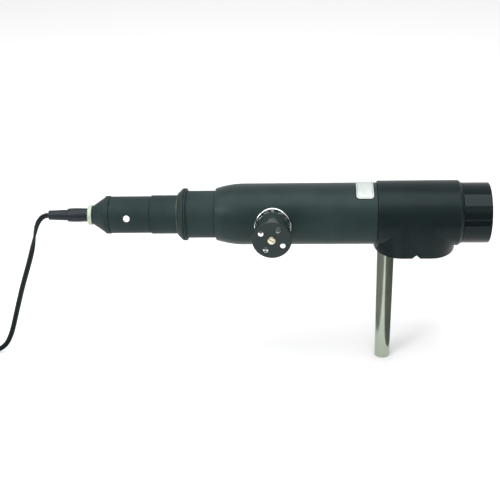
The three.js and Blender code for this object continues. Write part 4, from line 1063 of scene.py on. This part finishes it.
def make_objective():
    left, right, radius = reach("objective_cell")
    wall = radius - 2.2
    ledge, ledge_end = wall - 2, left + 6
    turned("objective_cell", "anodised", "housing", "aluminium", [
        (left, radius, 0.3), (right, radius, 0.4), (right, wall, 0.3), (ledge_end, wall),
        (ledge_end, ledge, 0.2),
        (left, ledge, 0.2),
    ], ANODISED)
    rear, _, rim = reach("objective_flint")
    front = reach("objective_crown")[1]
    joined = rear + 3.2
    turned("objective_flint", "ground", "housing", "lens_glass", [
        (rear, 0), (rear, rim, 0.2), *reversed(lens_arc(joined, CEMENTED_CURVE, rim, 1)),
    ], GLASS, sides=96)
    turned("objective_crown", "ground", "housing", "lens_glass", [
        *lens_arc(joined + GAP, CEMENTED_CURVE, rim, 1), *reversed(lens_arc(front, FRONT_CURVE, rim, -1)),
    ], GLASS, sides=96)
    left, right, rim = reach("objective_retainer")
    inner = rim - 1.8
    turned("objective_retainer", "turned", "housing", "black_paint", [
        (left, rim, 0.1), (right, rim, 0.3), (right, inner, 0.4), (left, inner, 0.1),
    ], ANODISED)


make_hood()
make_objective()

# ---- focus knob ----
# The knob is turned from black acetal and polished. A slotted brass screw holds it to its shaft, four small
# steel jewels are let into its face, and a saddle-backed steel flange closes the tube behind it.


def facing(node):
    """How far a CAD piece of the knob stands out from the optical axis, and its radius."""
    low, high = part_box(node)
    return -low.y / MM, (high.x - low.x) / 2 / MM


KNOB_LOW, KNOB_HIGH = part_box("focus_knob")
KNOB_X = (KNOB_LOW.x + KNOB_HIGH.x) / 2
FACE, KNOB_RADIUS = facing("focus_knob")
SCREW_SEAT = 3.45
SCREW_TURN = 60
JEWEL_CIRCLE = 9.7
JEWEL_RADIUS = 2.55
JEWEL_TURN = 59
JEWEL_LEANS = [(17, 4), (0, 0), (12, -6), (0, 0)]  # how each flat leans: up, and to the right, in degrees
POLISHED = turned_finish("polished_steel", (0.86, 0.88, 0.89), 0.05, 0.05, (0, 1, 0), 1500.0, 0.000002, 0.95)
SCREW_BRASS = turned_finish("screw_brass", (0.84, 0.80, 0.60), 0.22, 0.12, (0, 1, 0), 5000.0)
ACETAL = surface("polished_acetal", (0.019, 0.031, 0.029), 0.1, specular=0.2, sheen=(130, 0.11, 0.1),
                 wear=((0.05, 0.055, 0.06), 0.2), grain=(260, 0.00003))
# black lacquer on the flange's face, with pale patches painted into its colour that stand in for reflections
# of the room's light
LACQUER_WITH_PAINTED_REFLECTIONS = surface("lacquer_with_painted_reflections", (0.014, 0.020, 0.020), 0.16, specular=0.2, sheen=(500, 0.2, 0.1),
                  tones=(330, 1.3, [(0.50, (0.014, 0.020, 0.020)), (0.64, (0.20, 0.24, 0.22))]))


def outwards(x=KNOB_X, z=0.0):
    """Turns a piece that is made about X to point out of the knob's side."""
    return Matrix.Translation((x, 0, AXIS + z)) @ TO_FRONT


def jewel_places():
    turns = [radians(JEWEL_TURN + 90 * i) for i in range(len(JEWEL_LEANS))]
    return [(KNOB_X + JEWEL_CIRCLE * MM * cos(turn), JEWEL_CIRCLE * MM * sin(turn)) for turn in turns]


def make_knob():
    back, sunk, shaft = -KNOB_HIGH.y / MM, FACE - 1, 2.8
    drills = [drill(FACE - 3.2, FACE + 1, JEWEL_RADIUS + 0.05, POLISHED, outwards(x, z), 48)
              for x, z in jewel_places()]
    turned("focus_knob", "polished", "focus", "knob_gloss", [
        (back, shaft), (back, KNOB_RADIUS - 1.8, 0.5), (FACE - 0.5, KNOB_RADIUS, 0.3),
        (FACE, KNOB_RADIUS - 0.5, 0.3),
        (FACE, SCREW_SEAT, 0.2), (sunk, SCREW_SEAT), (sunk, shaft),
    ], ACETAL, outwards(), 192, drills)


def jewel_tree():
    """Sets one jewel at each point, leaning as the point's own attribute says."""
    tree, given = geometry_tree("jewels", Places="Geometry", Jewel="Object", Finish="Material")
    jewel = wired(tree, "GeometryNodeObjectInfo", {"Object": given["Jewel"]}).outputs["Geometry"]
    lean = made_from(tree, "GeometryNodeInputNamedAttribute", {"Name": "lean"}, data_type="FLOAT_VECTOR")
    leaning = made_from(tree, "FunctionNodeEulerToRotation", {"Euler": lean})
    inputs = {"Points": given["Places"], "Instance": jewel, "Rotation": leaning}
    return finished(tree, made_from(tree, "GeometryNodeInstanceOnPoints", inputs), given["Finish"])


def make_jewels():
    foot, crown = -2.1, 0.12
    radius = JEWEL_RADIUS - 0.1
    jewel = lathe("jewel", [
        (foot, 0), (foot, radius - 0.5, 0.2), (-1.2, radius, 0.3), (0, radius, 0.45), (crown, 0.3, 0.2),
        (crown, 0),
    ], POLISHED, TO_FRONT, 48)
    points = bpy.data.meshes.new("jewel_places")
    points.from_pydata([(x, (0.75 - FACE) * MM, AXIS + z) for x, z in jewel_places()], [], [])
    lean = points.attributes.new("lean", "FLOAT_VECTOR", "POINT")
    leans = [angle for up, right in JEWEL_LEANS for angle in (-radians(up), 0, radians(right))]
    lean.data.foreach_set("vector", leans)
    made = made_by(jewel_tree(), "knob_jewels", points, {"Jewel": jewel, "Finish": POLISHED})
    bpy.data.objects.remove(jewel)
    seat(made, "focus", "polished_steel", "knob_stud_1", "knob_stud_2", "knob_stud_3", "knob_stud_4")


def make_knob_screw():
    top, radius = facing("knob_screw")
    head, shank = top - 1.7, 1.5
    aslant = outwards() @ Matrix.Rotation(radians(SCREW_TURN), 4, "X")
    turned("knob_screw", "turned", "focus", "brass", [
        (head - 8, 0), (head - 8, shank, 0.3), (head, shank), (head, radius, 0.1), (top - 0.35, radius, 0.25),
        (top - 0.02, radius - 0.8, 0.5), (top, 0.3, 0.1), (top, 0),
    ], SCREW_BRASS, outwards(), 96, [block((top - 0.7, -0.4, -6), (top + 1, 0.4, 6), SCREW_BRASS, aslant)])


def saddle_tree():
    """Bends a piece that stands on a flat onto the tube: its height above the flat, in X, becomes its height
    above the tube's side, and its other two directions stay X and Z of the object."""
    tree, given = geometry_tree("saddle", Flat="Geometry", Tube="Float", Finish="Material")
    place = made_from(tree, "GeometryNodeInputPosition")
    split = wired(tree, "ShaderNodeSeparateXYZ", {"Vector": place}).outputs
    out = calc(tree, "ADD", given["Tube"], split["X"])
    up_squared = calc(tree, "MULTIPLY", split["Z"], split["Z"])
    depth_squared = calc(tree, "SUBTRACT", calc(tree, "MULTIPLY", out, out), up_squared)
    front = calc(tree, "MULTIPLY", calc(tree, "POWER", depth_squared, 0.5), -1)
    bent = made_from(tree, "ShaderNodeCombineXYZ", {"X": split["Y"], "Y": front, "Z": split["Z"]})
    moved = made_from(tree, "GeometryNodeSetPosition", {"Geometry": given["Flat"], "Position": bent})
    return finished(tree, moved, given["Finish"])


def make_flange():
    top, radius = facing("knob_flange")
    tube = reach("main_tube")[2] + GAP
    proud, bush, ring = top - tube, 5, 12.2
    flat = lathe("knob_flange_flat", [
        (0, radius), (proud, radius, 0.8), (proud, ring), (proud, bush), (0, bush), (0, ring),
    ], POLISHED, Matrix.Identity(4), 192)
    values = {"Tube": tube * MM, "Finish": POLISHED}
    flange = made_by(saddle_tree(), "knob_flange_polished", flat.data, values)
    bpy.data.objects.remove(flat)
    flange.data.transform(Matrix.Translation((KNOB_X, 0, AXIS)))
    seat_ring = lathe("flange_seat", [
        (top - 1, bush), (top - 1, 10), (top, 10, 0.2), (top, bush),
    ], POLISHED, outwards(), 96)
    carve(flange, seat_ring, "UNION")
    # the flange's front face takes the black lacquer, whose pale patches are painted reflections
    lacquer = len(flange.data.materials)
    flange.data.materials.append(LACQUER_WITH_PAINTED_REFLECTIONS)
    for face in flange.data.polygons:
        off = Vector((face.center.x - KNOB_X, face.center.z - AXIS)).length
        if off < (radius - 1) * MM and face.normal.y < -0.5:
            face.material_index = lacquer
    seat(flange, "housing", "polished_steel", "knob_flange")


make_knob()
make_jewels()
make_knob_screw()
make_flange()

# ---- inner pieces ----
# The lamp, condenser, focus drive and carriage stay as they were drawn, each with its own finish.
# They are only seen through the glass or when the head is taken apart.

ALUMINIUM = turned_finish("plain_aluminium", (0.55, 0.57, 0.58), 0.34, 0.15, (1, 0, 0))
GROUND = surface("ground_glass", (0.9, 0.92, 0.9), 0.6, sheen=(300, 0.6, 0.2), grain=(2500, 0.00004),
                 others={"Transmission Weight": 0.9})
STEATITE = surface("steatite", (0.74, 0.70, 0.62), 0.55, grain=(1800, 0.00003),
                   tones=(150, 1.2, [(0.2, (0.66, 0.62, 0.53)), (0.8, (0.8, 0.77, 0.7))]))
INNER_FINISHES = {
    "black_paint": enamel("inner_enamel", 0.6),
    "black_plastic": PVC,
    "post_steel": turned_finish("plain_steel", (0.5, 0.5, 0.49), 0.3, 0.12, (0, 1, 0)),
    "polished_steel": POLISHED,
    "brass": turned_finish("inner_brass", (0.74, 0.58, 0.28), 0.3, 0.15, (1, 0, 0)),
    "bronze": turned_finish("plain_bronze", (0.5, 0.34, 0.17), 0.35, 0.15, (0, 1, 0)),
    "aluminium": ALUMINIUM,
    "lens_glass": GLASS,
    "ground_glass": GROUND,
    "ceramic": STEATITE,
}
for subpart in frame["record"]["subparts"]:
    inner = frame["nodes"][subpart["node"]]
    if not inner.hide_render:
        inner.data.materials.clear()
        inner.data.materials.append(INNER_FINISHES[subpart["material_slot"]])
